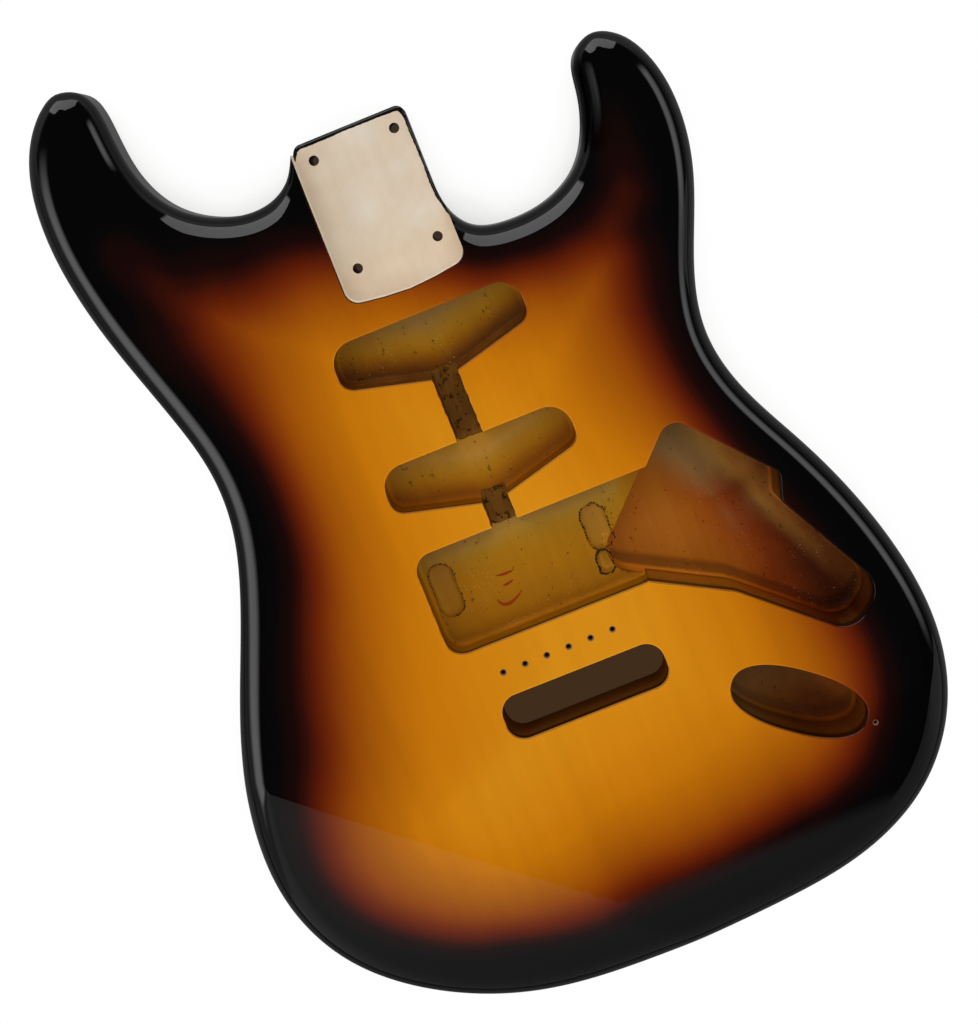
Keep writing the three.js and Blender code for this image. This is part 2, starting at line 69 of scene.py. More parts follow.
JACK_LENGTH, JACK_WIDTH, JACK_ANGLE, JACK_SQUARENESS = 63.4, 28.1, math.radians(-37.5), 2.34
JACK_SCREW_HOLE, JACK_SCREW_DEPTH = 1.8, 12.0
BRIDGE_SCREWS, BRIDGE_SCREW_PITCH, BRIDGE_SCREW_LINE = 6, 10.5, -176.8
BRIDGE_SCREW_HOLE, BRIDGE_SCREW_DEPTH = 2.0, 18.0
SLOT_RADIUS, BLOCK_BAY_MARGIN, SPRING_BAY_RADIUS = 8.5, 4.5, 4.25
WING_SEAM, BASS_SEAM, TREBLE_SEAM = -0.3534 * BODY_WIDTH, -24.95, 0.222 * BODY_WIDTH

OUTLINE_SHARES = [
    (-0.138, 0.117), (-0.210, 0.124), (-0.262, 0.151), (-0.291, 0.194), (-0.298, 0.240),
    (-0.314, 0.277), (-0.344, 0.285), (-0.385, 0.269), (-0.419, 0.230), (-0.434, 0.170),
    (-0.425, 0.098), (-0.372, -0.034), (-0.351, -0.100), (-0.353, -0.152), (-0.376, -0.211),
    (-0.460, -0.352), (-0.494, -0.440), (-0.496, -0.525), (-0.452, -0.603), (-0.353, -0.666),
    (-0.204, -0.706), (-0.044, -0.7125), (0.153, -0.7045), (0.287, -0.689), (0.406, -0.646),
    (0.478, -0.577), (0.502, -0.493), (0.486, -0.408), (0.416, -0.279), (0.368, -0.209),
    (0.351, -0.150), (0.363, -0.099), (0.414, -0.002), (0.426, 0.062), (0.410, 0.116),
    (0.383, 0.142), (0.348, 0.1505), (0.320, 0.139), (0.308, 0.108), (0.295, 0.074),
    (0.263, 0.040), (0.209, 0.021), (0.153, 0.018), (0.108, 0.027), (0.087, 0.047),
]

# Fineness
CURVE_STEP, PATH_STEP, WOBBLY_STEP = 2.2, 3.0, 1.0
ARC_STEP, CORNER_STEP, CIRCLE_STEP = math.radians(9), math.radians(8), math.radians(20)
GRID_STEP, FLOOR_STEP, WELL_STEP, BLOCK_STEP = 4.0, 3.0, 6.0, 1000.0
EDGE_STEPS, SIDE_STEPS, FLANK_STEPS, HEEL_STEPS, FILLET_STEPS, LIP_STEPS = 9, 3, 10, 14, 5, 4
JACK_STEPS, BURST_STEPS, KNOT_ROUNDS, CHUNK = 96, 6, 60, 4000


def on_body(share):
    return np.array([share[0] * BODY_WIDTH, share[1] * BODY_LENGTH])


def unit(v):
    v = np.asarray(v, float)
    return v / np.linalg.norm(v)


def turned(v):
    """A quarter turn to the left"""
    return np.array([-v[1], v[0]])


# The outline: a smooth curve through the knots, closed by the heel's end
def knot_directions(knots, start, end):
    spans = np.linalg.norm(np.diff(knots, axis=0), axis=1)
    directions = np.zeros_like(knots)
    directions[0], directions[-1] = start, end
    for _ in range(KNOT_ROUNDS):
        for i in range(1, len(knots) - 1):
            a, b = spans[i - 1], spans[i]
            directions[i] = (
                knots[i] * (3 * b / a - 3 * a / b) - knots[i - 1] * 3 * b / a + knots[i + 1] * 3 * a / b
                - directions[i - 1] * b - directions[i + 1] * a
            ) / (2 * (a + b))
    return directions, spans


def smooth_curve(knots, start, end):
    directions, spans = knot_directions(knots, start, end)
    points = []
    for i, span in enumerate(spans):
        count = max(2, math.ceil(span / CURVE_STEP))
        for t in np.arange(count) / count:
            points.append(
                knots[i] * (2 * t ** 3 - 3 * t ** 2 + 1) + directions[i] * (t ** 3 - 2 * t ** 2 + t) * span
                + knots[i + 1] * (3 * t ** 2 - 2 * t ** 3) + directions[i + 1] * (t ** 3 - t ** 2) * span)
    return points


def arc(centre, radius, start, end, step=ARC_STEP):
    count = max(2, math.ceil(abs(end - start) / step))
    angles = np.linspace(start, end, count + 1)
    return [np.array([centre[0] + radius * math.cos(a), centre[1] + radius * math.sin(a)]) for a in angles]


def body_outline():
    half, corner_y = HEEL_WIDTH / 2, POCKET_LENGTH - HEEL_CORNER_RADIUS
    bass = (HEEL_CORNER_RADIUS * math.sin(HEEL_SHOULDER_ANGLE) - half, corner_y)
    treble = (half - HEEL_CORNER_RADIUS, corner_y)
    bass_arc = arc(bass, HEEL_CORNER_RADIUS, math.pi / 2, math.pi / 2 + HEEL_SHOULDER_ANGLE)
    shaped = [on_body(share) for share in OUTLINE_SHARES]
    shoulder_y = shaped[0][1] + HEEL_SHOULDER_RISE * (POCKET_LENGTH - shaped[0][1])
    knots = np.array([
        bass_arc.pop(), (-half - HEEL_SHOULDER_WIDTH, shoulder_y), *shaped,
        (half, shaped[-1][1] + HEEL_FLANK_RISE)])
    start = (-math.cos(HEEL_SHOULDER_ANGLE), -math.sin(HEEL_SHOULDER_ANGLE))
    flank = smooth_curve(knots, start, (0, 1))
    treble_arc = arc(treble, HEEL_CORNER_RADIUS, 0, math.pi / 2)
    straight = [knots[-1] + (treble_arc[0] - knots[-1]) * t for t in np.arange(FLANK_STEPS) / FLANK_STEPS]
    heel = bass_arc[0] - treble_arc[-1]
    end = [treble_arc[-1] + heel * t for t in np.arange(1, HEEL_STEPS) / HEEL_STEPS]
    return np.array([*bass_arc, *flank, *straight, *treble_arc, *end])


def edge_radii(outline):
    before, after = np.roll(outline, 1, 0), np.roll(outline, -1, 0)
    a, b = outline - before, after - outline
    gaps = np.linalg.norm(b, axis=1)
    turn = np.arctan2(a[:, 0] * b[:, 1] - a[:, 1] * b[:, 0], (a * b).sum(1))
    reach = (gaps + np.roll(gaps, 1)) / 2
    limit = np.where(turn > 1e-4, RADIUS_LIMIT_SHARE * reach / np.maximum(turn, 1e-4), EDGE_RADIUS)
    radii = np.minimum(EDGE_RADIUS, limit)
    count = len(radii)
    ramps = RADIUS_RAMP_SHARE * gaps
    for i in range(1, 2 * count):
        here, before = i % count, (i - 1) % count
        radii[here] = min(radii[here], radii[before] + ramps[before])
    for i in range(2 * count, 0, -1):
        here, before = i % count, (i - 1) % count
        radii[before] = min(radii[before], radii[here] + ramps[before])
    return radii


def inward_normals(outline):
    a, b = outline - np.roll(outline, 1, 0), np.roll(outline, -1, 0) - outline
    along = a / np.linalg.norm(a, axis=1)[:, None] + b / np.linalg.norm(b, axis=1)[:, None]
    along /= np.linalg.norm(along, axis=1)[:, None]
    return np.stack([-along[:, 1], along[:, 0]], 1)


RIM = body_outline()
RIM_RADII = edge_radii(RIM)
RIM_INWARD = inward_normals(RIM)


def nearest_on(path, points):
    """Distance to a closed path, the number of the stretch that is nearest and the share along it"""
    nxt = np.roll(path, -1, 0)
    best = np.full(len(points), np.inf)
    index, share = np.zeros(len(points), int), np.zeros(len(points))
    for start in range(0, len(points), CHUNK):
        part = slice(start, start + CHUNK)
        chunk = points[part]
        near = ((chunk[:, None, :] - path[None]) ** 2).sum(2).argmin(1)
        for shift in (-1, 0):
            i = (near + shift) % len(path)
            along = nxt[i] - path[i]
            t = np.clip(((chunk - path[i]) * along).sum(1) / (along ** 2).sum(1), 0, 1)
            gap = np.linalg.norm(chunk - path[i] - along * t[:, None], axis=1)
            better = gap < best[part]
            best[part][better] = gap[better]
            index[part][better] = i[better]
            share[part][better] = t[better]
    return best, index, share


def gap_to(path, points):
    return nearest_on(path, points)[0]


def beside(start, end, points):
    """The share along a stretch that is nearest to each point, and the gap to it squared"""
    start, run = np.array(start), np.array(end) - np.array(start)
    share = np.clip((points - start) @ run / (run @ run), 0, 1)
    return share, ((points - start - run * share[:, None]) ** 2).sum(1)


def inside(path, points):
    result = np.zeros(len(points), bool)
    for a, b in zip(path, np.roll(path, -1, 0)):
        crosses = (a[1] > points[:, 1]) != (b[1] > points[:, 1])
        rise = b[1] - a[1]
        if rise == 0:
            continue
        x = a[0] + (points[:, 1] - a[1]) * (b[0] - a[0]) / rise
        result ^= crosses & (points[:, 0] < x)
    return result


# Contours planed into the top and the back
WAIST = on_body((-0.351, -0.124))
CREASE = on_body((-0.457, -0.401))
CREASE_RUN = unit(on_body((0.056, -0.716)) - CREASE)
CREASE_OUT = -turned(CREASE_RUN)


def forearm_drop(xy):
    past = (xy - CREASE) @ CREASE_OUT - FOREARM_SHIFT
    slope, w = FOREARM_FALL / FOREARM_REACH, FOREARM_BLEND
    return np.where(past <= -w, 0, np.where(past >= w, slope * past, slope * (past + w) ** 2 / (4 * w)))


def belly_rise(xy):
    depth = 1 - (xy[:, 0] - WAIST[0]) / BELLY_REACH - ((xy[:, 1] - WAIST[1]) / BELLY_HALF_SPAN) ** 2
    soft = BELLY_DEPTH * depth ** 2 / (2 * BELLY_BLEND)
    plain = BELLY_DEPTH * (depth - BELLY_BLEND / 2)
    return np.where(depth <= 0, 0, np.where(depth < BELLY_BLEND, soft, plain))


def contoured(points):
    low, high = belly_rise(points[:, :2]), BODY_DEPTH - forearm_drop(points[:, :2])
    result = points.copy()
    result[:, 2] = low + (high - low) * points[:, 2] / BODY_DEPTH
    return result


def outer_normals(points):
    """Normals of the finished outside, worked out from the rounded edge and the two contours"""
    xy, step, upright = points[:, :2], 0.05, 0.02
    low, high = belly_rise(xy), BODY_DEPTH - forearm_drop(xy)
    flat_z = (points[:, 2] - low) / (high - low) * BODY_DEPTH
    gap, index, share = nearest_on(RIM, xy)
    after = (index + 1) % len(RIM)
    radius = RIM_RADII[index] * (1 - share) + RIM_RADII[after] * share
    outward = -(RIM_INWARD[index] * (1 - share)[:, None] + RIM_INWARD[after] * share[:, None])
    outward /= np.linalg.norm(outward, axis=1)[:, None]
    lean = np.clip((radius - gap) / radius, 0, 1)
    up = np.where(flat_z > BODY_DEPTH / 2, 1.0, -1.0)
    lift = np.where(up > 0, flat_z - (BODY_DEPTH - radius), radius - flat_z) / radius
    rise = np.sqrt(np.clip(1 - lean ** 2, 0, 1)) * up
    rise = np.where(lift <= upright, 0, rise)
    lean = np.where(lift <= upright, 1, lean)
    normal = np.column_stack([outward * lean[:, None], rise])
    share_up = flat_z / BODY_DEPTH
    slopes = []
    for axis in ((step, 0), (0, step)):
        moved, back = xy + axis, xy - axis
        low_slope = (belly_rise(moved) - belly_rise(back)) / (2 * step)
        high_slope = -(forearm_drop(moved) - forearm_drop(back)) / (2 * step)
        slopes.append(low_slope + (high_slope - low_slope) * share_up)
    stretch = (high - low) / BODY_DEPTH
    normal[:, 0] -= slopes[0] / stretch * normal[:, 2]
    normal[:, 1] -= slopes[1] / stretch * normal[:, 2]
    normal[:, 2] /= stretch
    return normal / np.linalg.norm(normal, axis=1)[:, None]


def filled(ring, step, extra=None):
    """The ring's points with a grid of points inside it, and triangles over them all"""
    row_share, wall_share, near_share, extra_gap = 0.866, 0.55, 0.4, 0.3
    low, high = ring.min(0), ring.max(0)
    rows = np.arange(low[1] + step / 2, high[1], step * row_share)
    grid = np.array([
        (x + (step / 2 if j % 2 else 0), y)
        for j, y in enumerate(rows) for x in np.arange(low[0], high[0], step)]).reshape(-1, 2)
    grid = grid[inside(ring, grid)]
    if len(grid):
        grid = grid[gap_to(ring, grid) > wall_share * step]
    if extra is not None:
        extra = extra[inside(ring, extra)]
        extra = extra[gap_to(ring, extra) > extra_gap]
        away = ((grid[:, None] - extra[None]) ** 2).sum(2).min(1) > (near_share * step) ** 2
        grid = np.vstack([grid[away], extra])
    points = np.vstack([ring, grid])
    count = len(ring)
    walls = [(i, (i + 1) % count) for i in range(count)]
    found, _, faces, *_ = delaunay_2d_cdt([Vector(p) for p in points], walls, [], 0, 1e-5, True)
    owner = {}
    for number, (a, b, c) in enumerate(faces):
        owner.update({(a, b): number, (b, c): number, (c, a): number})
    queue = [owner[wall] for wall in walls]
    walls, kept = set(walls), set(queue)
    while queue:
        a, b, c = faces[queue.pop()]
        for edge in {(a, b), (b, c), (c, a)} - walls:
            beyond = owner[edge[::-1]]
            if beyond not in kept:
                kept.add(beyond)
                queue.append(beyond)
    return np.array([tuple(p) for p in found]), [faces[number] for number in sorted(kept)]


def new_object(name, data):
    obj = bpy.data.objects.new(name, data)
    bpy.context.scene.collection.objects.link(obj)
    return obj


def mesh_object(name, vertices, faces, materials):
    mesh = bpy.data.meshes.new(name)
    mesh.from_pydata([tuple(v) for v in vertices], [], [tuple(f) for f in faces])
    for material in materials:
        mesh.materials.append(material)
    return new_object(name, mesh)


def read(items, key, width=1):
    """One property of all the items of a mesh, as rows where it has several numbers"""
    numbers = np.zeros(len(items) * width, float if width > 1 else np.int32)
    items.foreach_get(key, numbers)
    return numbers.reshape(-1, width) if width > 1 else numbers


def points_of(mesh):
    return read(mesh.vertices, "co", 3)


def write_attribute(mesh, name, numbers):
    layer = mesh.attributes.new(name, "FLOAT", "POINT")
    layer.data.foreach_set("value", np.broadcast_to(numbers, len(mesh.vertices)).astype(np.float32))


FLOOR_WAVE, WAVE_LENGTH = 0.12, 9.0


def floor_wave(name, x, y, size):
    """The uneven height of a cavity's floor; the length of the cavity's name seeds it"""
    return size * noise.noise(Vector((x / WAVE_LENGTH, y / WAVE_LENGTH, len(name))))


def stacked(name, rings, bands, floor_step, cap_slots, wave=0.0, dip=None, extra=None):
    """A closed solid of equal rings from the bottom up; bands holds each band's material"""
    count = len(rings[0])
    vertices = [tuple(p) for ring in rings for p in ring]
    faces, slots = [], []
    for level in range(len(rings) - 1):
        for i in range(count):
            j = (i + 1) % count
            a, b = level * count + i, level * count + j
            faces.append((a, b, b + count, a + count))
            slots.append(bands[level])
    for ring_number, top in ((0, False), (len(rings) - 1, True)):
        ring = np.array(rings[ring_number])
        points, triangles = filled(ring[:, :2], floor_step, None if top else extra)
        first = len(vertices)
        z = ring[0][2]
        for x, y in points[count:]:
            vertices.append((x, y, z + (0.0 if top else floor_wave(name, x, y, wave))))
        number = lambda k: ring_number * count + k if k < count else first + k - count
        for a, b, c in triangles:
            faces.append((number(a), number(b), number(c)) if top else (number(a), number(c), number(b)))
            slots.append(cap_slots[1 if top else 0])
    if dip:
        vertices = np.array(vertices)
        floor = vertices[:, 2] < rings[0][0][2] + 1
        vertices[floor, 2] -= dip(vertices[floor, :2])
    obj = mesh_object(name, vertices, faces, MATERIALS)
    obj.data.polygons.foreach_set("material_index", np.array(slots, np.int32))
    obj.data.update()
    return obj


def body_plate():
    def ring(side, angle):
        inset, height = RIM_RADII * (1 - math.cos(angle)), RIM_RADII * (1 - math.sin(angle))
        z = BODY_DEPTH - height if side > 0 else height
        return np.column_stack([RIM + RIM_INWARD * inset[:, None], z])

    angles = np.linspace(0, math.pi / 2, EDGE_STEPS + 1)
    lower = [ring(-1, angle) for angle in angles[::-1]]
    upper = [ring(1, angle) for angle in angles]
    middle = [lower[-1] + (upper[0] - lower[-1]) * t for t in np.arange(1, SIDE_STEPS) / SIDE_STEPS]
    rings = lower + middle + upper
    plate = stacked("plate", rings, [LACQUER] * (len(rings) - 1), GRID_STEP, (LACQUER, LACQUER))
    plate.data.vertices.foreach_set("co", contoured(points_of(plate.data)).ravel())
    return plate


# Cutters: closed paths with rounded corners, and the profile of their walls
LIP_RADIUS, FILLET_RADIUS = 0.7, 2.5


def rounded_path(corners):
    path = []
    count = len(corners)
    for i, (x, y, radius) in enumerate(corners):
        at = np.array([x, y], float)
        to_before = unit(np.array(corners[i - 1][:2]) - at)
        to_after = unit(np.array(corners[(i + 1) % count][:2]) - at)
        half = math.acos(np.clip(to_before @ to_after, -1, 1)) / 2
        middle = at + unit(to_before + to_after) * radius / math.sin(half)
        start = at + to_before * radius / math.tan(half) - middle
        end = at + to_after * radius / math.tan(half) - middle
        a0, a1 = math.atan2(start[1], start[0]), math.atan2(end[1], end[0])
        sweep = (a1 - a0 + math.pi) % (2 * math.pi) - math.pi
        path += arc(middle, radius, a0, a0 + sweep, CORNER_STEP)
    return spaced(np.array(path), PATH_STEP)


def spaced(path, spacing):
    result = []
    for a, b in zip(path, np.roll(path, -1, 0)):
        length = np.linalg.norm(b - a)
        if length < 1e-6:
            continue
        count = max(1, math.ceil(length / spacing))
        result += [a + (b - a) * t for t in np.arange(count) / count]
    result = np.array(result)
    after = np.roll(result, -1, 0)
    if (result[:, 0] * after[:, 1] - result[:, 1] * after[:, 0]).sum() < 0:
        result = result[::-1]
    return result


def rounded_box(x0, x1, y0, y1, radius):
    return rounded_path([(x, y, radius) for x, y in ((x0, y0), (x1, y0), (x1, y1), (x0, y1))])


def quarter(steps):
    """A quarter circle as shares of its radius: the inset that is left, and the height gained"""
    angles = [math.pi / 2 * k / steps for k in range(steps + 1)]
    return [(1 - math.sin(a), 1 - math.cos(a)) for a in angles]


def swept(path, profile, moves=0.0):
    """The path as a ring for each inset and height of a profile"""
    normals = inward_normals(path)
    still = np.zeros(len(path))
    return [
        np.column_stack([path + normals * (still + inset + moves)[:, None], still + z])
        for inset, z in profile]


def pit(name, path, floor, wall_slot, floor_slot, lip=LIP_RADIUS, fillet=FILLET_RADIUS, top=BODY_DEPTH,
        wave=FLOOR_WAVE, lip_slot=None, wobble=None, dip=None, extra=None):
    """A cutter from above: lip rounded over at the top face, straight wall, filleted floor"""
    lip_slot = LIP if lip_slot is None else lip_slot
    moves = 0.0
    if wobble:
        size, scale, seed = wobble
        path = spaced(path, WOBBLY_STEP)
        moves = np.array([size * noise.noise(Vector((x / scale, y / scale, seed))) for x, y in path])
    profile = [(fillet * a, floor + fillet * b) for a, b in quarter(FILLET_STEPS)]
    profile += [(-lip * b, top - lip * a) for a, b in quarter(LIP_STEPS)]
    profile.append((-lip, top + OVERRUN))
    bands = [floor_slot] * FILLET_STEPS + [wall_slot] + [lip_slot] * (LIP_STEPS + 1)
    caps = (floor_slot, lip_slot)
    return stacked(name, swept(path, profile, moves), bands, FLOOR_STEP, caps, wave, dip, extra)


def well(name, path, z0, z1, slot, step=WELL_STEP):
    """A cutter with plain straight walls"""
    return stacked(name, swept(path, [(0, z0), (0, z1)]), [slot], step, (slot, slot))


def bay(name, path, depth, slot):
    """A cutter from below, with a rounded lip at the back face"""
    profile = [(-LIP_RADIUS, -OVERRUN)]
    profile += [(-LIP_RADIUS * a, LIP_RADIUS * b) for a, b in quarter(LIP_STEPS)]
    profile.append((0, depth))
    bands = [LIP] * (LIP_STEPS + 1) + [slot]
    return stacked(name, swept(path, profile), bands, WELL_STEP, (LIP, slot))


def circle(x, y, diameter):
    return np.array(arc((x, y), diameter / 2, 0, 2 * math.pi, CIRCLE_STEP)[:-1])


(LACQUER, LIP, NECK_ROUT, MIDDLE_ROUT, BRIDGE_ROUT, CONTROL, JACK, POCKET, POCKET_WALL, POCKET_LIP, RECESS,
 CHANNEL, SLOT_WALL, BAY, BORE, HOLE_RIM, SEAM) = range(17)


# Where the sunburst turns dark red, round the body from the bass cutaway, and how softly it turns there
BURST_LINE = [
    (-39, 27, 1.4), (-50, 27, 1.6), (-60, 26.5, 1.7), (-70, 26, 1.8), (-83, 28, 2.0), (-92, 25, 2.4),
    (-95, 12, 2.0), (-91.5, -4, 1.4), (-88, -23, 1.0), (-85, -61, 1.0), (-89, -99, 1.1), (-101, -130, 1.4),
    (-112, -158, 1.5), (-120, -184, 1.5), (-130, -207, 1.4), (-134, -231, 1.4), (-129, -252, 1.2),
    (-118, -268, 1.0), (-100, -282, 0.9), (-78, -292, 0.9), (-55, -297, 0.9), (-29, -298, 1.1),
    (-1, -293, 1.2), (28, -290, 1.2), (56, -288, 1.2), (79, -284, 1.3), (99, -276, 1.3),
    (112, -266, 1.3), (123, -251, 1.3), (127, -232, 1.2), (125, -210, 1.2), (121, -186, 1.1),
    (115, -160, 1.0), (107, -132, 1.0), (99, -106, 1.0), (91, -78, 1.2), (89, -52, 1.4),
    (92, -34, 1.8), (93, -22, 1.8), (87, -15, 1.5), (74, -13, 1.2), (60, -13, 1.1), (48, -12, 1.0),
    (35, -10, 1.0), (23, -4, 1.0), (0, 10, 1.0), (-24, 22, 1.2),
]
# The dark red glow that runs on up the horns: two stretches, each with the ramp's value at its ends
HORN_GLOWS = [
    ((-94, 26), (-112, 58), -1.0, -7.5), ((88, -14), (102, 0), -1.0, -4.0),
    ((102, 0), (110, 34), -4.0, -11.0)]
GLOW_SPREAD, SOFTNESS_REACH = 26, 30


def burst_depth(xy):
    """Millimetres into the amber from the dark red line, as the ramp counts them"""
    knots = np.array(BURST_LINE)
    path = []
    for p0, p1, p2, p3 in zip(*(np.roll(knots, -k, 0) for k in (-1, 0, 1, 2))):
        for t in np.arange(BURST_STEPS) / BURST_STEPS:
            place = 0.5 * (
                2 * p1 + (p2 - p0) * t + (2 * p0 - 5 * p1 + 4 * p2 - p3) * t ** 2
                + (3 * p1 - p0 - 3 * p2 + p3) * t ** 3)
            path.append((*place[:2], p1[2] * (1 - t) + p2[2] * t))
    path, soft = np.array(path)[:, :2], np.array(path)[:, 2]
    gap, index, _ = nearest_on(path, xy)
    reach = ((xy[:, None] - path[None, ::3]) ** 2).sum(2) / SOFTNESS_REACH ** 2
    weights = np.exp(-reach.clip(0, 100))
    softness = (weights * soft[None, ::3]).sum(1) / np.maximum(weights.sum(1), 1e-9)
    softness = np.where(weights.sum(1) > 1e-6, softness, soft[index])
    depth = np.where(inside(path, xy), gap, -gap) / softness
    for start, end, first, last in HORN_GLOWS:
        t, aside = beside(start, end, xy)
        depth = np.logaddexp(depth, first + (last - first) * t - aside / GLOW_SPREAD)
    return depth


# Materials
def linear(colour):
    return tuple(c / 12.92 if c <= 0.04045 else ((c + 0.055) / 1.055) ** 2.4 for c in np.array(colour) / 255)


class Nodes:
    """Short calls for building the node tree of a material or a world"""

    def __init__(self, owner):
        owner.use_nodes = True
        self.owner, self.tree = owner, owner.node_tree
        self.tree.nodes.clear()

    def put(self, socket, value):
        if isinstance(value, bpy.types.NodeSocket):
            self.tree.links.new(value, socket)
        else:
            socket.default_value = value

    def add(self, kind, inputs=(), **settings):
        node = self.tree.nodes.new(kind)
        for key, value in settings.items():
            setattr(node, key, value)
        for key, value in dict(inputs).items():
            self.put(node.inputs[key], value)
        return node

    def math(self, operation, *values):
        return self.add("ShaderNodeMath", dict(enumerate(values)), operation=operation).outputs[0]

    def highest(self, first, *others):
        for other in others:
            first = self.math("MAXIMUM", first, other)
        return first

    def product(self, first, *others):
        for other in others:
            first = self.math("MULTIPLY", first, other)
        return first

    def total(self, first, *others):
        for other in others:
            first = self.math("ADD", first, other)
        return first

    def inverse(self, value):
        return self.math("SUBTRACT", 1.0, value)

    def attribute(self, name):
        return self.add("ShaderNodeAttribute", attribute_name=name).outputs["Fac"]

    def position(self):
        return self.add("ShaderNodeTexCoord").outputs["Object"]

    def parts(self, vector):
        return self.add("ShaderNodeSeparateXYZ", {0: vector}).outputs

    def noise(self, vector, scale, detail=2.0, roughness=0.5):
        return self.add("ShaderNodeTexNoise", {
            "Vector": vector, "Scale": scale, "Detail": detail, "Roughness": roughness}).outputs["Fac"]

    def fibres(self, vector, scales, detail, roughness):
        """Noise with a scale of its own along each axis"""
        vector = self.add("ShaderNodeMapping", {"Vector": vector, "Scale": scales}).outputs[0]
        return self.noise(vector, 1.0, detail, roughness)

    def between(self, value, low, high, to_low=0.0, to_high=1.0):
        return self.add("ShaderNodeMapRange", {0: value, 1: low, 2: high, 3: to_low, 4: to_high}).outputs[0]

    def sway(self, value, reach, middle=0.0, spread=0.2):
        """A noise brought to the values from middle - reach to middle + reach"""
        return self.between(value, 0.5 - spread, 0.5 + spread, middle - reach, middle + reach)

    def rise(self, value, low, high):
        inputs = {0: value, 1: low, 2: high}
        return self.add("ShaderNodeMapRange", inputs, interpolation_type="SMOOTHSTEP").outputs[0]

    def band(self, value, low0, low1, high0, high1):
        return self.product(self.rise(value, low0, low1), self.inverse(self.rise(value, high0, high1)))

    def ramp(self, value, stops):
        node = self.add("ShaderNodeValToRGB", {"Fac": value})
        elements = node.color_ramp.elements
        while len(elements) < len(stops):
            elements.new(0.5)
        for element, (place, colour) in zip(elements, stops):
            element.position = place
            element.color = (*linear(colour), 1)
        return node.outputs["Color"]

    def mix(self, share, a, b):
        """Two colours mixed; each is a socket, or the red, green and blue of a screen colour"""
        node = self.add("ShaderNodeMix", data_type="RGBA")
        self.put(node.inputs[0], share)
        for socket, value in ((node.inputs[6], a), (node.inputs[7], b)):
            self.put(socket, (*linear(value), 1) if isinstance(value, tuple) else value)
        return node.outputs[2]

    def shade(self, colour, factor):
        return self.add("ShaderNodeVectorMath", {0: colour, "Scale": factor}, operation="SCALE").outputs[0]

    def bump(self, height, distance, strength=1.0):
        return self.add("ShaderNodeBump", {
            "Height": height, "Distance": distance, "Strength": strength}).outputs[0]

    def mix_shaders(self, share, a, b):
        return self.add("ShaderNodeMixShader", {0: share, 1: a, 2: b}).outputs[0]

    def output(self, shader):
        self.add("ShaderNodeOutputMaterial", {"Surface": shader})
        return self.owner

    def surface(self, inputs):
        return self.output(self.add("ShaderNodeBsdfPrincipled", inputs).outputs[0])


def ramp_places(stops, low, high):
    return [((value - low) / (high - low), colour) for value, colour in stops]


# The sunburst's colour by the millimetres into the amber
BURST_LOW, BURST_HIGH = -20, 80
BURST_RAMP = ramp_places([
    (-20, (0, 0, 0)), (-12, (3, 1, 1)), (-6, (22, 3, 2)), (-3, (48, 9, 2)), (0, (78, 20, 2)),
    (3, (98, 31, 2)), (6, (114, 43, 3)), (12, (140, 66, 3)), (18, (155, 82, 3)), (24, (168, 93, 4)),
    (36, (187, 110, 5)), (54, (198, 122, 10)), (80, (204, 132, 18))], BURST_LOW, BURST_HIGH)


def burst_colour(n, jitter):
    return n.ramp(n.total(n.attribute("burst"), jitter), BURST_RAMP)


# Where the gloss is duller, inside the treble horn: a line, and where that begins to fade and ends
DULL_LINE, DULL_REACH, DULL_COAT = ((103.5, 56.0), (98.5, 28.0)), (3.5, 7.5), 0.2


def lacquer_material():
    n = Nodes(bpy.data.materials.new("sunburst_lacquer"))
    at = n.position()
    grain = n.fibres(at, (150, 5, 150), 3.0, 0.5)
    cloud = n.fibres(at, (22, 10, 22), 1.0, 0.5)
    colour = burst_colour(n, n.sway(cloud, 0.015, spread=0.25))
    tone = n.product(n.sway(grain, 0.035, 1.0), n.sway(cloud, 0.03, 1.0), n.attribute("top_tone"))
    return n.surface({
        "Base Color": n.shade(colour, tone), "Roughness": 0.3, "Specular IOR Level": 0.0,
        "Coat Weight": n.between(n.attribute("dull"), 0, 1, 1.0, DULL_COAT), "Coat Roughness": 0.015})


def lip_material():
    """Lacquer that rolls over a cavity's edge, with a painted highlight where it faces the tail and painted
    shade where it faces the neck
    """
    n = Nodes(bpy.data.materials.new("lacquer_lip"))
    facing = n.parts(n.add("ShaderNodeNewGeometry").outputs["Normal"])[1]
    away = n.rise(n.total(facing, n.sway(n.noise(n.position(), 160.0), 0.12)), -0.25, 0.3)
    return n.surface({
        "Base Color": n.shade(burst_colour(n, 0.0), n.between(away, 0, 1, 1.35, 0.42)), "Roughness": 0.35,
        "Specular IOR Level": 0.0, "Coat Weight": 0.6, "Coat Roughness": 0.12})


def pores(n, at):
    """Small dark pores that lie in rows along the grain"""
    dots = n.fibres(at, (850, 467.5, 850), 1.0, 0.4)
    rows = n.fibres(at, (190, 9, 190), 1.0, 0.5)
    return n.rise(n.total(dots, n.between(rows, 0.4, 0.7, -0.06, 0.06)), 0.7, 0.75)


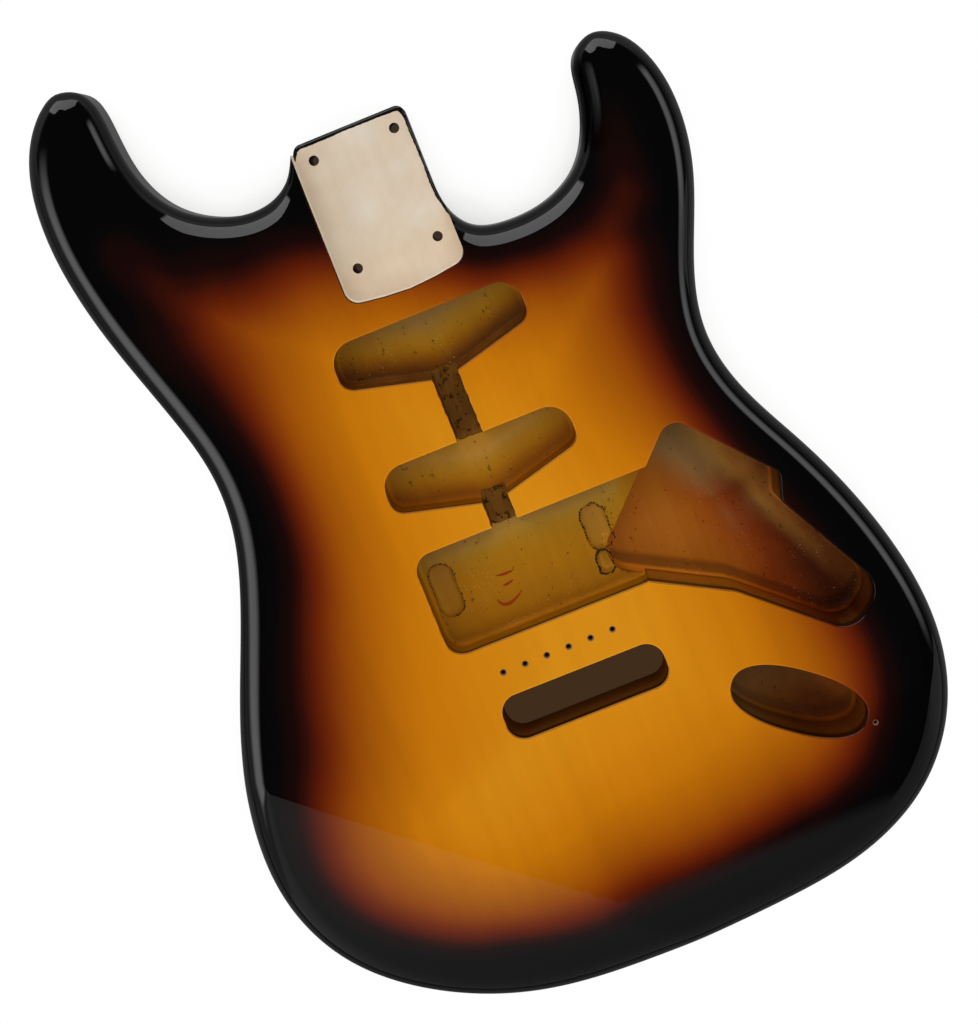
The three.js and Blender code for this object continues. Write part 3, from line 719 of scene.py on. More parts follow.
def wood_finish(name, key, stops, near=None, reach=(0, 1), wall=1.0, pore=0.5, dust=0.5, ridge=0.35,
                tail_band_dark=0.0, gloss=0.05):
    """Tinted wood inside a cavity: a ramp over one attribute, another one near the neckward wall"""
    n = Nodes(bpy.data.materials.new(name))
    at = n.position()
    streak = n.fibres(at, (240, 20, 120), 4.0, 0.65)
    cloud = n.noise(at, 70.0, 3.0, 0.6)
    low, high = stops[0][0], stops[-1][0]
    along = n.total(n.attribute(key), n.sway(cloud, (high - low) * 0.04, spread=0.25))
    along = n.between(along, low, high)
    colour = n.ramp(along, ramp_places(stops, low, high))
    if near:
        north = n.total(n.attribute("north"), n.sway(cloud, 3.0, spread=0.25))
        colour = n.mix(n.inverse(n.rise(north, *reach)), colour, n.ramp(along, ramp_places(near, low, high)))
    climb = n.attribute("climb")
    hole = pores(n, at)
    # The fillet at the foot of each wall is brightened as a painted highlight by the ridge factor, and the
    # floor is darkened in a band 1 to 8.5 mm from the tailward wall.
    tone = n.product(
        n.sway(streak, 0.05, 1.0), n.attribute("rout_tone"), n.between(climb, 0.15, 0.9, 1.0, wall),
        n.total(1.0, n.product(n.band(climb, 0.01, 0.05, 0.12, 0.2), ridge)),
        n.between(n.rise(climb, 0.72, 0.88), 0, 1, 1.0, 0.25),
        n.between(n.band(n.attribute("south"), 1.0, 3.0, 5.0, 8.5), 0, 1, 1.0, 1 - tail_band_dark),
        n.inverse(n.product(hole, pore)))
    warmth = n.attribute("rout_warmth")
    green, blue = (n.product(tone, n.inverse(n.product(warmth, k))) for k in (1.0, 2.0))
    tint = n.add("ShaderNodeCombineXYZ", {0: tone, 1: green, 2: blue})
    colour = n.add("ShaderNodeVectorMath", {0: colour, 1: tint.outputs[0]}, operation="MULTIPLY").outputs[0]
    grains = n.rise(n.noise(at, 1500.0, 0.0), 0.77, 0.81)
    patch = n.rise(n.noise(at, 60.0, 1.0), 0.5, 0.7)
    height = n.math("SUBTRACT", n.product(streak, 0.6), hole)
    return n.surface({
        "Base Color": n.mix(n.product(grains, patch, dust), colour, DUST), "Roughness": 0.4,
        "Specular IOR Level": gloss, "Normal": n.bump(height, 0.0003, 0.5)})


def pocket_material():
    """Bare wood of the neck pocket, with the body's black paint over its outer rim"""
    n = Nodes(bpy.data.materials.new("pocket_wood"))
    at = n.position()
    streak = n.fibres(at, (170, 16, 120), 4.0, 0.6)
    cloud = n.noise(at, 45.0, 3.0, 0.6)
    wood = n.ramp(cloud, [(0.25, (199, 178, 154)), (0.5, (204, 187, 165)), (0.75, (208, 198, 182))])
    ragged = n.total(n.sway(n.noise(at, 90.0, 2.0, 0.6), 0.25), n.sway(n.noise(at, 600.0, 2.0, 0.6), 0.12))
    width = n.between(n.parts(at)[1], 0.066, 0.071, 1.2, 2.0)
    gap = n.math("SUBTRACT", n.total(n.attribute("rim_gap"), ragged), width)
    paint = n.inverse(n.rise(gap, 0.0, 0.2))
    return n.surface({
        "Base Color": n.mix(paint, n.shade(wood, n.sway(streak, 0.035, 1.0)), BLACK_PAINT),
        "Roughness": n.between(paint, 0, 1, 0.6, 0.16), "Specular IOR Level": 0.4,
        "Normal": n.bump(n.product(streak, 0.5), 0.0001, 0.5)})


def stain(name, colour, rough, bump=0.0002, scale=300.0, spots=0.0):
    """A plain dark or pale finish with a fine mottle, and dark spots where it is rough"""
    n = Nodes(bpy.data.materials.new(name))
    at = n.position()
    height = n.fibres(at, (scale, scale * 0.25, scale), 3.0, 0.6)
    low, high = (tuple(int(v * k) for v in colour) for k in (0.9, 1.07))
    shown = n.ramp(height, [(0.3, low), (0.7, high)])
    if spots:
        spot = n.rise(n.fibres(at, (420, 260, 420), 3.0, 0.7), 0.56, 0.66)
        shown = n.shade(shown, n.inverse(n.product(spot, spots)))
        height = n.math("SUBTRACT", height, spot)
    return n.surface({
        "Base Color": shown, "Roughness": rough, "Specular IOR Level": 0.08,
        "Normal": n.bump(height, bump, 0.6)})


# Screen colours from 0 to 255. Those of the routs and recesses go by the millimetres from the tailward wall,
# and those of the two deep cavities and the slot by the millimetres into the amber.
DUST, BLACK_PAINT = (190, 172, 130), (9, 8, 8)
NECK_STOPS = [(0, (118, 72, 24)), (3, (88, 46, 6)), (6, (107, 60, 5)), (9, (128, 77, 4)), (12, (144, 93, 5)),
              (16, (153, 106, 16)), (20, (153, 108, 32)), (26, (145, 108, 52))]
MIDDLE_STOPS = [(0, (130, 72, 10)), (3, (129, 70, 2)), (7, (145, 88, 6)), (11, (157, 104, 10)),
                (16, (163, 114, 28)), (20, (170, 123, 46)), (26, (170, 120, 34))]
BRIDGE_STOPS = [(0, (144, 86, 8)), (3, (132, 79, 1)), (7, (141, 90, 6)), (12, (143, 91, 6)),
                (20, (153, 98, 7)), (28, (156, 102, 8)), (36, (160, 112, 20)), (41, (161, 120, 42)),
                (47, (152, 113, 54))]
CONTROL_STOPS = [(-8, (72, 28, 6)), (0, (74, 28, 4)), (4, (88, 34, 4)), (9, (106, 42, 4)), (15, (126, 52, 7)),
                 (25, (150, 76, 14)), (35, (162, 94, 18)), (45, (164, 94, 20)), (56, (162, 94, 20))]
CONTROL_NEAR = [(-8, (103, 56, 18)), (0, (144, 94, 36)), (4, (156, 112, 48)), (9, (138, 108, 58)),
                (15, (136, 107, 64)), (25, (156, 124, 70)), (35, (166, 124, 60)), (45, (204, 148, 54)),
                (56, (228, 164, 44))]
JACK_STOPS = [(5, (116, 58, 16)), (12, (100, 49, 11)), (20, (100, 51, 11)), (28, (118, 70, 22)),
              (38, (142, 94, 44))]
JACK_NEAR = [(5, (150, 84, 26)), (12, (142, 79, 28)), (20, (122, 72, 24)), (28, (112, 71, 30)),
             (38, (130, 90, 46))]
LEG_STOPS = [(0, (150, 96, 8)), (20, (160, 108, 22)), (40, (170, 120, 42))]
SLOT_STOPS = [(0, (92, 50, 14)), (50, (92, 50, 14))]

MATERIALS = [
    lacquer_material(),
    lip_material(),
    wood_finish("neck_rout_wood", "south", NECK_STOPS, wall=0.9),
    wood_finish("middle_rout_wood", "south", MIDDLE_STOPS, wall=0.85),
    wood_finish("bridge_rout_wood", "south", BRIDGE_STOPS, wall=0.7),
    wood_finish("control_wood", "burst_mm", CONTROL_STOPS, CONTROL_NEAR, (16, 44), wall=0.5, ridge=1.3,
                tail_band_dark=0.45),
    wood_finish("jack_wood", "burst_mm", JACK_STOPS, JACK_NEAR, (8, 24), wall=0.5, dust=0.0, ridge=1.0,
                tail_band_dark=0.25),
    pocket_material(),
    stain("pocket_wall", (232, 217, 195), 0.6, 0.00003),
    # The pocket's lip in dark brown: partly the lacquer's own dark edge, partly a painted shadow line along
    # the rim.
    stain("pocket_edge", (44, 24, 12), 0.4),
    wood_finish("recess_wood", "south", LEG_STOPS, pore=0.7),
    stain("channel_wood", (112, 70, 18), 0.5, 0.001, 420.0, 0.75),
    wood_finish("slot_wood", "burst_mm", SLOT_STOPS, pore=0.0, dust=0.0, ridge=0.0, gloss=0.0),
    stain("bay_wood", (92, 58, 30), 0.6, 0.0003),
    stain("bore_wood", (120, 56, 36), 0.6),
    stain("hole_rim", (110, 92, 64), 0.45, 0.0),
    stain("joint_wood", (206, 176, 132), 0.6),
]

# Cavities. A box runs from x to x and from y to y, and a corner ends with its radius.
FLOOR = BODY_DEPTH - ROUT_DEPTH
POCKET_PATH = rounded_path([
    (-POCKET_END_WIDTH / 2, POCKET_CORNER_Y, POCKET_CORNER_RADIUS),
    (0, POCKET_CORNER_Y - POCKET_END_SAG, POCKET_END_RADIUS),
    (POCKET_END_WIDTH / 2, POCKET_CORNER_Y, POCKET_CORNER_RADIUS),
    (POCKET_MOUTH_WIDTH / 2, POCKET_LENGTH + OVERRUN, POCKET_MOUTH_RADIUS),
    (-POCKET_MOUTH_WIDTH / 2, POCKET_LENGTH + OVERRUN, POCKET_MOUTH_RADIUS)])
POCKET_RIM_RADIUS, POCKET_RIM_STEPS = 1.3, (0.02, 0.25, 0.6, 1.0, 1.4)
BRIDGE_PATH = rounded_path([
    (-45.3, -162.5, 8.5), (50.2, -162.5, 4), (74.0, -114.3, 4), (-45.3, -114.3, 8.5)])
SLOT_BOX = (-34.05, 43.25, -209.0, -188.3)
SPRING_BAY_BOX = (-28.5, 28.5, -198.65, -96.3)
CHANNEL_BOXES = [(-6.4, 5.6, -74.6, -40.5), (-6.4, 5.6, -115.8, -99.5)]
CHANNEL_RADIUS, CHANNEL_EXTRA_DEPTH = 1.2, 0.4
LEG_BOXES = [(-43.2, -31.5, -148.5, -123.3), (30.7, 42.4, -144.7, -123.3)]
LEG_RADIUS, LEG_DEPTHS = 5.5, (5.0, 4.0)
NOTCH_BOX, NOTCH_RADIUS, NOTCH_DEPTH = (30.7, 37.9, -156.4, -144.7), 3.35, 4.0
RECESS_OVERLAP, CAVITY_FILLET = 0.15, 3.5
CONTROL_CORNERS = [
    (0.0907, -0.327, 11), (0.259, -0.391, 20), (0.389, -0.4715, 12), (0.4475, -0.439, 12),
    (0.361, -0.327, 5), (0.3735, -0.2995, 5), (0.259, -0.2095, 8)]
CONTROL_PATH = rounded_path([(*on_body((x, y)), radius) for x, y, radius in CONTROL_CORNERS])
JACK_CENTRE, JACK_SCREW = on_body((0.284, -0.5156)), on_body((0.3716, -0.5627))


def pickup_path(top):
    left, right = PICKUP_OFFSET - PICKUP_HALF_WIDTH, PICKUP_OFFSET + PICKUP_HALF_WIDTH
    shoulder = top - PICKUP_SHOULDER
    return rounded_path([
        (left, top, PICKUP_UPPER_RADIUS), (left, shoulder, PICKUP_LOWER_RADIUS),
        (PICKUP_OFFSET, top - PICKUP_APEX, PICKUP_LOWER_RADIUS), (right, shoulder, PICKUP_LOWER_RADIUS),
        (right, top, PICKUP_UPPER_RADIUS)])


def jack_path():
    """An oval with flattened sides"""
    along = np.array([math.cos(JACK_ANGLE), math.sin(JACK_ANGLE)])
    points = []
    for t in np.linspace(0, 2 * math.pi, JACK_STEPS, endpoint=False):
        u, v = (math.copysign(abs(k) ** (2 / JACK_SQUARENESS), k) for k in (math.cos(t), math.sin(t)))
        points.append(JACK_CENTRE + along * JACK_LENGTH / 2 * u + turned(along) * JACK_WIDTH / 2 * v)
    return spaced(np.array(points), PATH_STEP)


PICKUP_PATHS, JACK_PATH = [pickup_path(top) for top in PICKUP_TOPS], jack_path()


def pocket_dip(xy):
    """How far the pocket's floor rolls over towards the outline"""
    gap = gap_to(RIM, xy) * np.where(inside(RIM, xy), 1, -1)
    gap = np.clip(gap, 0, POCKET_RIM_RADIUS)
    return POCKET_RIM_RADIUS - np.sqrt(POCKET_RIM_RADIUS ** 2 - (POCKET_RIM_RADIUS - gap) ** 2)


def cutters():
    pocket_floor, recess_top = BODY_DEPTH - POCKET_DEPTH, FLOOR + RECESS_OVERLAP
    rim = np.vstack([RIM + RIM_INWARD * gap for gap in POCKET_RIM_STEPS])
    made = [
        pit("neck_rout", PICKUP_PATHS[0], FLOOR, NECK_ROUT, NECK_ROUT),
        pit("middle_rout", PICKUP_PATHS[1], FLOOR, MIDDLE_ROUT, MIDDLE_ROUT),
        pit("bridge_rout", BRIDGE_PATH, FLOOR, BRIDGE_ROUT, BRIDGE_ROUT),
        pit("neck_pocket", POCKET_PATH, pocket_floor, POCKET_WALL, POCKET, lip=0.5, fillet=0.4, wave=0.0,
            lip_slot=POCKET_LIP, dip=pocket_dip, extra=rim)]
    for i, box in enumerate(CHANNEL_BOXES):
        made.append(pit(
            f"channel{i}", rounded_box(*box, CHANNEL_RADIUS), FLOOR - CHANNEL_EXTRA_DEPTH, CHANNEL, CHANNEL,
            lip=0.3, fillet=0.5, wave=0.7, wobble=(0.5, 3.0, 2.0 + i)))
    made.append(pit("control", CONTROL_PATH, CAVITY_FLOOR, CONTROL, CONTROL, fillet=CAVITY_FILLET))
    made.append(pit("jack", JACK_PATH, CAVITY_FLOOR, JACK, JACK, fillet=CAVITY_FILLET))
    for i, box in enumerate(LEG_BOXES):
        made.append(pit(
            f"leg{i}", rounded_box(*box, LEG_RADIUS), FLOOR - LEG_DEPTHS[i], RECESS, RECESS, lip=0.4,
            fillet=2.6, top=recess_top, lip_slot=CHANNEL, wobble=(0.6, 2.5, 3.0 + i)))
    made.append(pit(
        "notch", rounded_box(*NOTCH_BOX, NOTCH_RADIUS), FLOOR - NOTCH_DEPTH, CHANNEL, RECESS, lip=0.4,
        fillet=1.5, top=recess_top, lip_slot=CHANNEL, wobble=(0.7, 2.0, 9.0)))
    slot_path = rounded_box(*SLOT_BOX, SLOT_RADIUS)
    made.append(pit("slot", slot_path, -OVERRUN, SLOT_WALL, SLOT_WALL, fillet=0.1, wave=0.0))
    around = [value + sign * BLOCK_BAY_MARGIN for value, sign in zip(SLOT_BOX, (-1, 1, -1, 1))]
    made.append(bay("block_bay", rounded_box(*around, SLOT_RADIUS), SPRING_BAY_DEPTH, BAY))
    made.append(bay("spring_bay", rounded_box(*SPRING_BAY_BOX, SPRING_BAY_RADIUS), SPRING_BAY_DEPTH, BAY))
    for x in (-NECK_SCREW_X, NECK_SCREW_X):
        for y in NECK_SCREW_YS:
            path = circle(x, y, NECK_SCREW_HOLE)
            made.append(well("neck_screw", path, -OVERRUN, BODY_DEPTH - OVERRUN, BORE))
    middle = (BRIDGE_SCREWS - 1) / 2
    holes = [
        ((i - middle) * BRIDGE_SCREW_PITCH, BRIDGE_SCREW_LINE, BRIDGE_SCREW_HOLE, BRIDGE_SCREW_DEPTH, 0.6)
        for i in range(BRIDGE_SCREWS)]
    for x, y, width, depth, lip in [*holes, (*JACK_SCREW, JACK_SCREW_HOLE, JACK_SCREW_DEPTH, 0.4)]:
        made.append(pit(
            "screw_hole", circle(x, y, width), BODY_DEPTH - depth, BORE, BORE, lip=lip, fillet=0.3, wave=0.0,
            lip_slot=HOLE_RIM))
    return made


def box_of(obj):
    points = points_of(obj.data)
    return points.min(0), points.max(0)


def boolean(obj, cutter, operation):
    modifier = obj.modifiers.new("cut", "BOOLEAN")
    modifier.solver = "MANIFOLD"
    modifier.operation = operation
    modifier.object = cutter
    evaluated = obj.evaluated_get(bpy.context.evaluated_depsgraph_get())
    mesh = bpy.data.meshes.new_from_object(evaluated)
    obj.modifiers.remove(modifier)
    old = obj.data
    obj.data = mesh
    bpy.data.meshes.remove(old)


def block(x0, x1, y0, y1):
    path = np.array([(x0, y0), (x1, y0), (x1, y1), (x0, y1)])
    return well("block", path, -OVERRUN, BODY_DEPTH + OVERRUN, SEAM, BLOCK_STEP)


# What counts as no wall, the depth that the recesses reach, and the band along a cavity's wall
FAR, NO_WALL, RECESS_REACH, WALL_BAND, WALL_REACH, FLOOR_SLACK = 99.0, 30.0, 5.5, 1.5, 1.0, 0.6
# The control cavity: its neckward edge, its tail end, and the burst's depths its end darkens between
CONTROL_RIDGE = [(0.2, -0.17), (0.363, -0.3), (0.363, -0.325), (0.4475, -0.439)]
CONTROL_TAIL, RIDGE_STRETCH, END_BURST = -214, 0.67, (5, 18)


def wall_gaps(path, points):
    """From each point inside a path, how far the path lies towards the neck and towards the tail"""
    north, south = np.full(len(points), FAR), np.full(len(points), FAR)
    for a, b in zip(path, np.roll(path, -1, 0)):
        if a[0] == b[0]:
            continue
        t = (points[:, 0] - a[0]) / (b[0] - a[0])
        over = (t >= 0) & (t <= 1)
        gap = a[1] + (b[1] - a[1]) * t - points[:, 1]
        north = np.where(over & (gap >= 0) & (gap < north), gap, north)
        south = np.where(over & (gap < 0) & (-gap < south), -gap, south)
    return north, south


def cavity_gaps(points):
    """From each point in a cavity, how far the wall lies towards the neck and towards the tail"""
    north, south = np.full(len(points), NO_WALL), np.full(len(points), NO_WALL)
    shallow = points[:, 2] > FLOOR - RECESS_REACH
    levels = [(path, shallow) for path in (*PICKUP_PATHS, BRIDGE_PATH)]
    for path, right_level in [*levels, (CONTROL_PATH, ~shallow), (JACK_PATH, points[:, 2] > 0)]:
        xy, normals = points[:, :2].copy(), inward_normals(path)
        gap, index, _ = nearest_on(path, xy)
        at_wall = gap < WALL_BAND
        xy[at_wall] += normals[index[at_wall]] * (WALL_BAND + 0.1)
        within = inside(path, xy) & right_level & (inside(path, points[:, :2]) | at_wall)
        if within.any():
            north[within], south[within] = wall_gaps(path, xy[within])
    deep = ~shallow & (points[:, 1] > CONTROL_TAIL)
    ridge = np.array([on_body(share) for share in CONTROL_RIDGE])
    ridge = np.vstack([ridge, ridge[::-1] + (0.01, 0.01)])
    end = np.clip((END_BURST[1] - burst_depth(points[deep][:, :2])) / (END_BURST[1] - END_BURST[0]), 0, 1)
    north[deep] = gap_to(ridge, points[deep][:, :2]) / RIDGE_STRETCH * (1 + end)
    return north, south


def climb(points):
    """How far up a cavity's wall each point lies, from its floor to the top face"""
    xy = points[:, :2]
    deep = np.zeros(len(points), bool)
    for path in (CONTROL_PATH, JACK_PATH):
        deep |= inside(path, xy) | (gap_to(path, xy) < WALL_REACH)
    deep &= (points[:, 0] > 0) & ~(inside(BRIDGE_PATH, xy) & (points[:, 2] > FLOOR - FLOOR_SLACK))
    base = np.where(deep, CAVITY_FLOOR, FLOOR)
    return np.clip((points[:, 2] - base) / (BODY_DEPTH - base), 0, 1)


def dullness(xy):
    """1 beside the line where the gloss is duller, 0 beyond its reach"""
    gap = np.sqrt(beside(*DULL_LINE, xy)[1])
    return np.clip((DULL_REACH[1] - gap) / (DULL_REACH[1] - DULL_REACH[0]), 0, 1)


SHARP_ANGLE = math.radians(40)


def finish_mesh(obj, top_tone, rout_tone, rout_warmth):
    """The attributes that the materials read, and normals from the true outside"""
    mesh = obj.data
    points = points_of(mesh)
    xy = points[:, :2]
    burst = burst_depth(xy)
    north, south = cavity_gaps(points)
    values = {
        "burst": np.clip((burst - BURST_LOW) / (BURST_HIGH - BURST_LOW), 0, 1), "burst_mm": burst,
        "north": north, "south": south, "climb": climb(points), "dull": dullness(xy),
        "rim_gap": gap_to(RIM, xy), "top_tone": top_tone, "rout_tone": rout_tone, "rout_warmth": rout_warmth}
    for name, numbers in values.items():
        write_attribute(mesh, name, numbers)
    mesh.polygons.foreach_set("use_smooth", np.ones(len(mesh.polygons), bool))
    mesh.set_sharp_from_angle(angle=SHARP_ANGLE)
    mesh.update()
    normals = read(mesh.corner_normals, "vector", 3)
    outer = np.repeat(read(mesh.polygons, "material_index"), read(mesh.polygons, "loop_total")) == LACQUER
    normals[outer] = outer_normals(points)[read(mesh.loops, "vertex_index")[outer]]
    mesh.normals_split_custom_set([tuple(v) for v in normals])
    mesh.transform(Matrix.Scale(MM, 4))
    mesh.update()


# Each piece of wood: its stretch of the body, the tone of its top, and the tone and warmth of its routs
PIECES = [
    ("bass_horn_wing", (-BODY_WIDTH, WING_SEAM, WAIST[1], BODY_LENGTH), 0.985, 1.0, 0.0),
    ("bass_bout_wing", (-BODY_WIDTH, WING_SEAM, -BODY_LENGTH, WAIST[1]), 0.98, 1.0, 0.0),
    ("bass_board", (WING_SEAM, BASS_SEAM, -BODY_LENGTH, BODY_LENGTH), 0.99, 0.97, 0.04),
    ("centre_board", (BASS_SEAM, TREBLE_SEAM, -BODY_LENGTH, BODY_LENGTH), 1.0, 1.0, 0.0),
    ("treble_board", (TREBLE_SEAM, BODY_WIDTH, -BODY_LENGTH, BODY_LENGTH), 0.985, 0.94, 0.07),
]


def make_body():
    plate = body_plate()
    cut = cutters()
    boxes = [box_of(c) for c in cut]
    for name, area, *tones in PIECES:
        piece = new_object(f"{name}_finish", plate.data.copy())
        piece_block = block(*area)
        boolean(piece, piece_block, "INTERSECT")
        bpy.data.objects.remove(piece_block)
        low, high = box_of(piece)
        for cutter, (c_low, c_high) in zip(cut, boxes):
            if (c_low[:2] < high[:2]).all() and (c_high[:2] > low[:2]).all():
                boolean(piece, cutter, "DIFFERENCE")
        finish_mesh(piece, *tones)
        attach(piece, "root")
        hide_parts(name)
    for obj in [plate, *cut]:
        bpy.data.objects.remove(obj)


make_body()


# Marks left in the bridge rout: crayon strokes, and the burnt crumbs round the recesses
MARK_LIFT, MARK_SINK, CRUMB_CORNERS, STROKE_STEPS, STROKE_END = 0.07, 0.1, 7, 6, 0.25
CRUMB_STRAY_SEEDS = (20.5, 40.5)
NOTCH_CRUMB_RADIUS = 3.4
STROKES = [
    ([(-14.1, -137.8), (-11.2, -138.5), (-8.4, -138.6), (-6.0, -138.4)], 1.3),
    ([(-12.8, -143.4), (-10.2, -143.3), (-7.4, -142.5)], 1.4),
    ([(-17.3, -148.4), (-16.9, -150.2), (-15.4, -151.6), (-12.9, -152.0), (-9.9, -151.1), (-5.4, -148.4)],
     1.7)]


def marks(name, shapes, material):
    """Thin flakes that follow the rout's uneven floor"""
    vertices, faces = [], []
    for shape in shapes:
        first, count = len(vertices), len(shape)
        for height in (-MARK_SINK, MARK_LIFT):
            for x, y in shape:
                z = FLOOR + floor_wave("bridge_rout", x, y, FLOOR_WAVE) + height
                vertices.append((x * MM, y * MM, z * MM))
        faces.append([first + count + i for i in range(count)])
        for i in range(count):
            j = (i + 1) % count
            faces.append([first + i, first + j, first + count + j, first + count + i])
    obj = mesh_object(name, vertices, faces, [material])
    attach(obj, "root")


def stroke(points, width):
    """The outline of one crayon stroke, tapered at its ends"""
    knots = np.array(points, float)
    count = len(knots)
    at = np.linspace(0, count - 1, STROKE_STEPS * count)
    degree = min(3, count - 1)
    fit = np.column_stack([np.polyval(np.polyfit(range(count), row, degree), at) for row in knots.T])
    along = np.gradient(fit, axis=0)
    across = np.column_stack([-along[:, 1], along[:, 0]]) / np.linalg.norm(along, axis=1)[:, None]
    taper = np.sin(np.linspace(STROKE_END, math.pi - STROKE_END, len(fit)))[:, None]
    rough = np.array([1 + 0.5 * noise.noise(Vector((x * 1.7, y * 1.7, 0))) for x, y in fit])[:, None]
    half = width / 2 * taper * rough
    return np.vstack([fit - across * half, (fit + across * half)[::-1]])


def crumb(x, y, size, seed):
    """The corners of one burnt crumb"""
    corners = []
    for angle in np.arange(CRUMB_CORNERS) * 2 * math.pi / CRUMB_CORNERS:
        across, up = math.cos(angle), math.sin(angle)
        radius = size * (0.75 + 0.7 * noise.noise(Vector((across * 2, up * 2, seed))))
        corners.append((x + radius * across, y + radius * up))
    return corners


def crumbs(path, spacing, size, seed, share):
    """Crumbs along a path, where the noise lets them lie"""
    made = []
    for i, (x, y) in enumerate(spaced(path, spacing)):
        if 0.5 + 0.9 * noise.noise(Vector((x / 3, y / 3, seed))) < share:
            across, up = (0.8 * noise.noise(Vector((x, y, seed + k))) for k in CRUMB_STRAY_SEEDS)
            grow = 0.8 + 0.9 * abs(noise.noise(Vector((x * 2, y * 2, seed + 4))))
            made.append(crumb(x + across, y + up, size * grow, seed + i * 1.7))
    return made


def bridge_marks():
    crayon = stain("red_crayon", (134, 46, 8), 0.6, 0.0001, 900.0)
    marks("crayon_strokes", [stroke(points, width) for points, width in STROKES], crayon)
    bass, treble = (rounded_box(*box, LEG_RADIUS) for box in LEG_BOXES)
    notch = rounded_box(*NOTCH_BOX, NOTCH_CRUMB_RADIUS)
    shapes = crumbs(treble, 1.1, 0.5, 3.0, 0.72) + crumbs(notch, 1.0, 0.6, 7.0, 0.8)
    marks("burnt_edges", shapes + crumbs(bass, 1.1, 0.4, 5.0, 0.55), stain("burnt_crumbs", (40, 26, 12), 0.6))


bridge_marks()


# Stage and light, in metres
FLOOR_DROP, FLOOR_MIDDLE, FLOOR_MESH_STEP, FLOOR_MESH_REACH = 0.0003, -0.09, 0.015, 0.6
FLOOR_FAR_LINES = (1.0, 2.0, 6.0, 20.0)
SHADE_REACH = 0.035
# Painted shadows on the floor: the slot's shade is a fixed dark patch under the tremolo slot, and the contact
# shade darkens the floor by ambient occlusion next to the body.
SLOT_SHADE, CONTACT_SHADE = (64, 45, 28), (56, 47, 38)
FLOOR_SHADES = [
    (0.0, CONTACT_SHADE), (0.2, CONTACT_SHADE), (0.3, (214, 213, 212)), (0.5, (249, 249, 248)),
    (0.66, (255, 255, 255))]
# The greys that the lacquer's edge mirrors, over the first 0.4 m of the floor
MIRRORED_GREYS = [(0.0, 112), (0.1, 122), (0.3, 132), (0.6, 112), (1.0, 88)]


def seen_by_rays(n):
    """1 for what the camera sees, straight on, in gloss or through glass"""
    path = n.add("ShaderNodeLightPath").outputs
    return n.highest(path["Is Camera Ray"], path["Is Glossy Ray"], path["Is Transmission Ray"])


def floor_material():
    """White paper with a painted contact shadow from ambient occlusion and a painted shadow under the slot,
    as seen, and the greys of the room's floor in reflections
    """
    n = Nodes(bpy.data.materials.new("floor_paper"))
    x, y, _ = n.parts(n.position())
    # Painted shadows: the floor darkens by ambient occlusion next to the body, and a fixed patch under the
    # slot is painted dark.
    close = n.add("ShaderNodeAmbientOcclusion", {"Distance": SHADE_REACH}, samples=16).outputs["AO"]
    painted_slot_shadow = n.product(n.band(x, -0.06, -0.055, 0.065, 0.07), n.band(y, -0.23, -0.225, -0.17, -0.165))
    plain = n.mix(painted_slot_shadow, n.ramp(close, FLOOR_SHADES), SLOT_SHADE)
    away = n.attribute("away")
    radius = n.math("SQRT", n.total(n.product(x, x), n.product(y, y)))
    heading = n.math("DIVIDE", n.total(y, 0.05), n.total(radius, 0.05))
    mirrored = n.ramp(n.between(away, 0.0, 0.4), [(place, (grey,) * 3) for place, grey in MIRRORED_GREYS])
    mirrored = n.shade(mirrored, n.total(
        1.0, n.product(n.rise(x, 0.0, 0.15), 0.2), n.product(n.rise(y, -0.38, -0.2), 0.4),
        n.product(n.rise(away, 0.1, 0.4), n.rise(heading, 0.3, 0.8), 2.4), -0.4))
    mirrored = n.mix(n.rise(away, 4.0, 12.0), mirrored, (255, 255, 255))
    glossy = n.add("ShaderNodeLightPath").outputs["Is Glossy Ray"]
    glow = n.add("ShaderNodeEmission", {"Color": n.mix(glossy, plain, mirrored)}).outputs[0]
    paper = n.add("ShaderNodeBsdfDiffuse").outputs[0]
    clear = n.add("ShaderNodeBsdfTransparent").outputs[0]
    behind = n.add("ShaderNodeNewGeometry").outputs["Backfacing"]
    return n.output(n.mix_shaders(behind, n.mix_shaders(seen_by_rays(n), paper, glow), clear))


def floor():
    """A fine mesh near the body, which knows how far it is from the rim"""
    far = np.array(FLOOR_FAR_LINES)
    near = np.arange(-FLOOR_MESH_REACH, FLOOR_MESH_REACH + FLOOR_MESH_STEP / 2, FLOOR_MESH_STEP)
    lines = [*-far[::-1], *near, *far]
    spots = np.array([(x, y + FLOOR_MIDDLE) for y in lines for x in lines])
    across = len(lines)
    faces = [
        (i, i + 1, i + 1 + across, i + across)
        for row in range(across - 1) for i in range(row * across, row * across + across - 1)]
    obj = mesh_object("floor", [(x, y, -FLOOR_DROP) for x, y in spots], faces, [floor_material()])
    gap = gap_to(RIM, spots / MM) * MM
    write_attribute(obj.data, "away", np.where(inside(RIM, spots / MM), 0, gap))


floor()


def neck_light(n, x, y, z):
    """A tall lit panel past the neck, its upper corners cut off"""
    ahead = n.highest(y, 0.05)
    across, up = n.math("DIVIDE", x, ahead), n.math("DIVIDE", z, ahead)
    off = n.highest(n.math("SUBTRACT", n.math("ABSOLUTE", n.total(across, -0.1)), 0.35), 0.0)
    top = n.rise(n.total(up, n.product(off, 1.38)), 1.66, 1.76)
    return n.product(
        n.band(across, -0.74, -0.66, 0.86, 0.94), n.rise(up, 0.10, 0.18), n.inverse(top),
        n.rise(y, 0.05, 0.1), n.between(across, -0.5, 0.5, 2.35, 1.95))


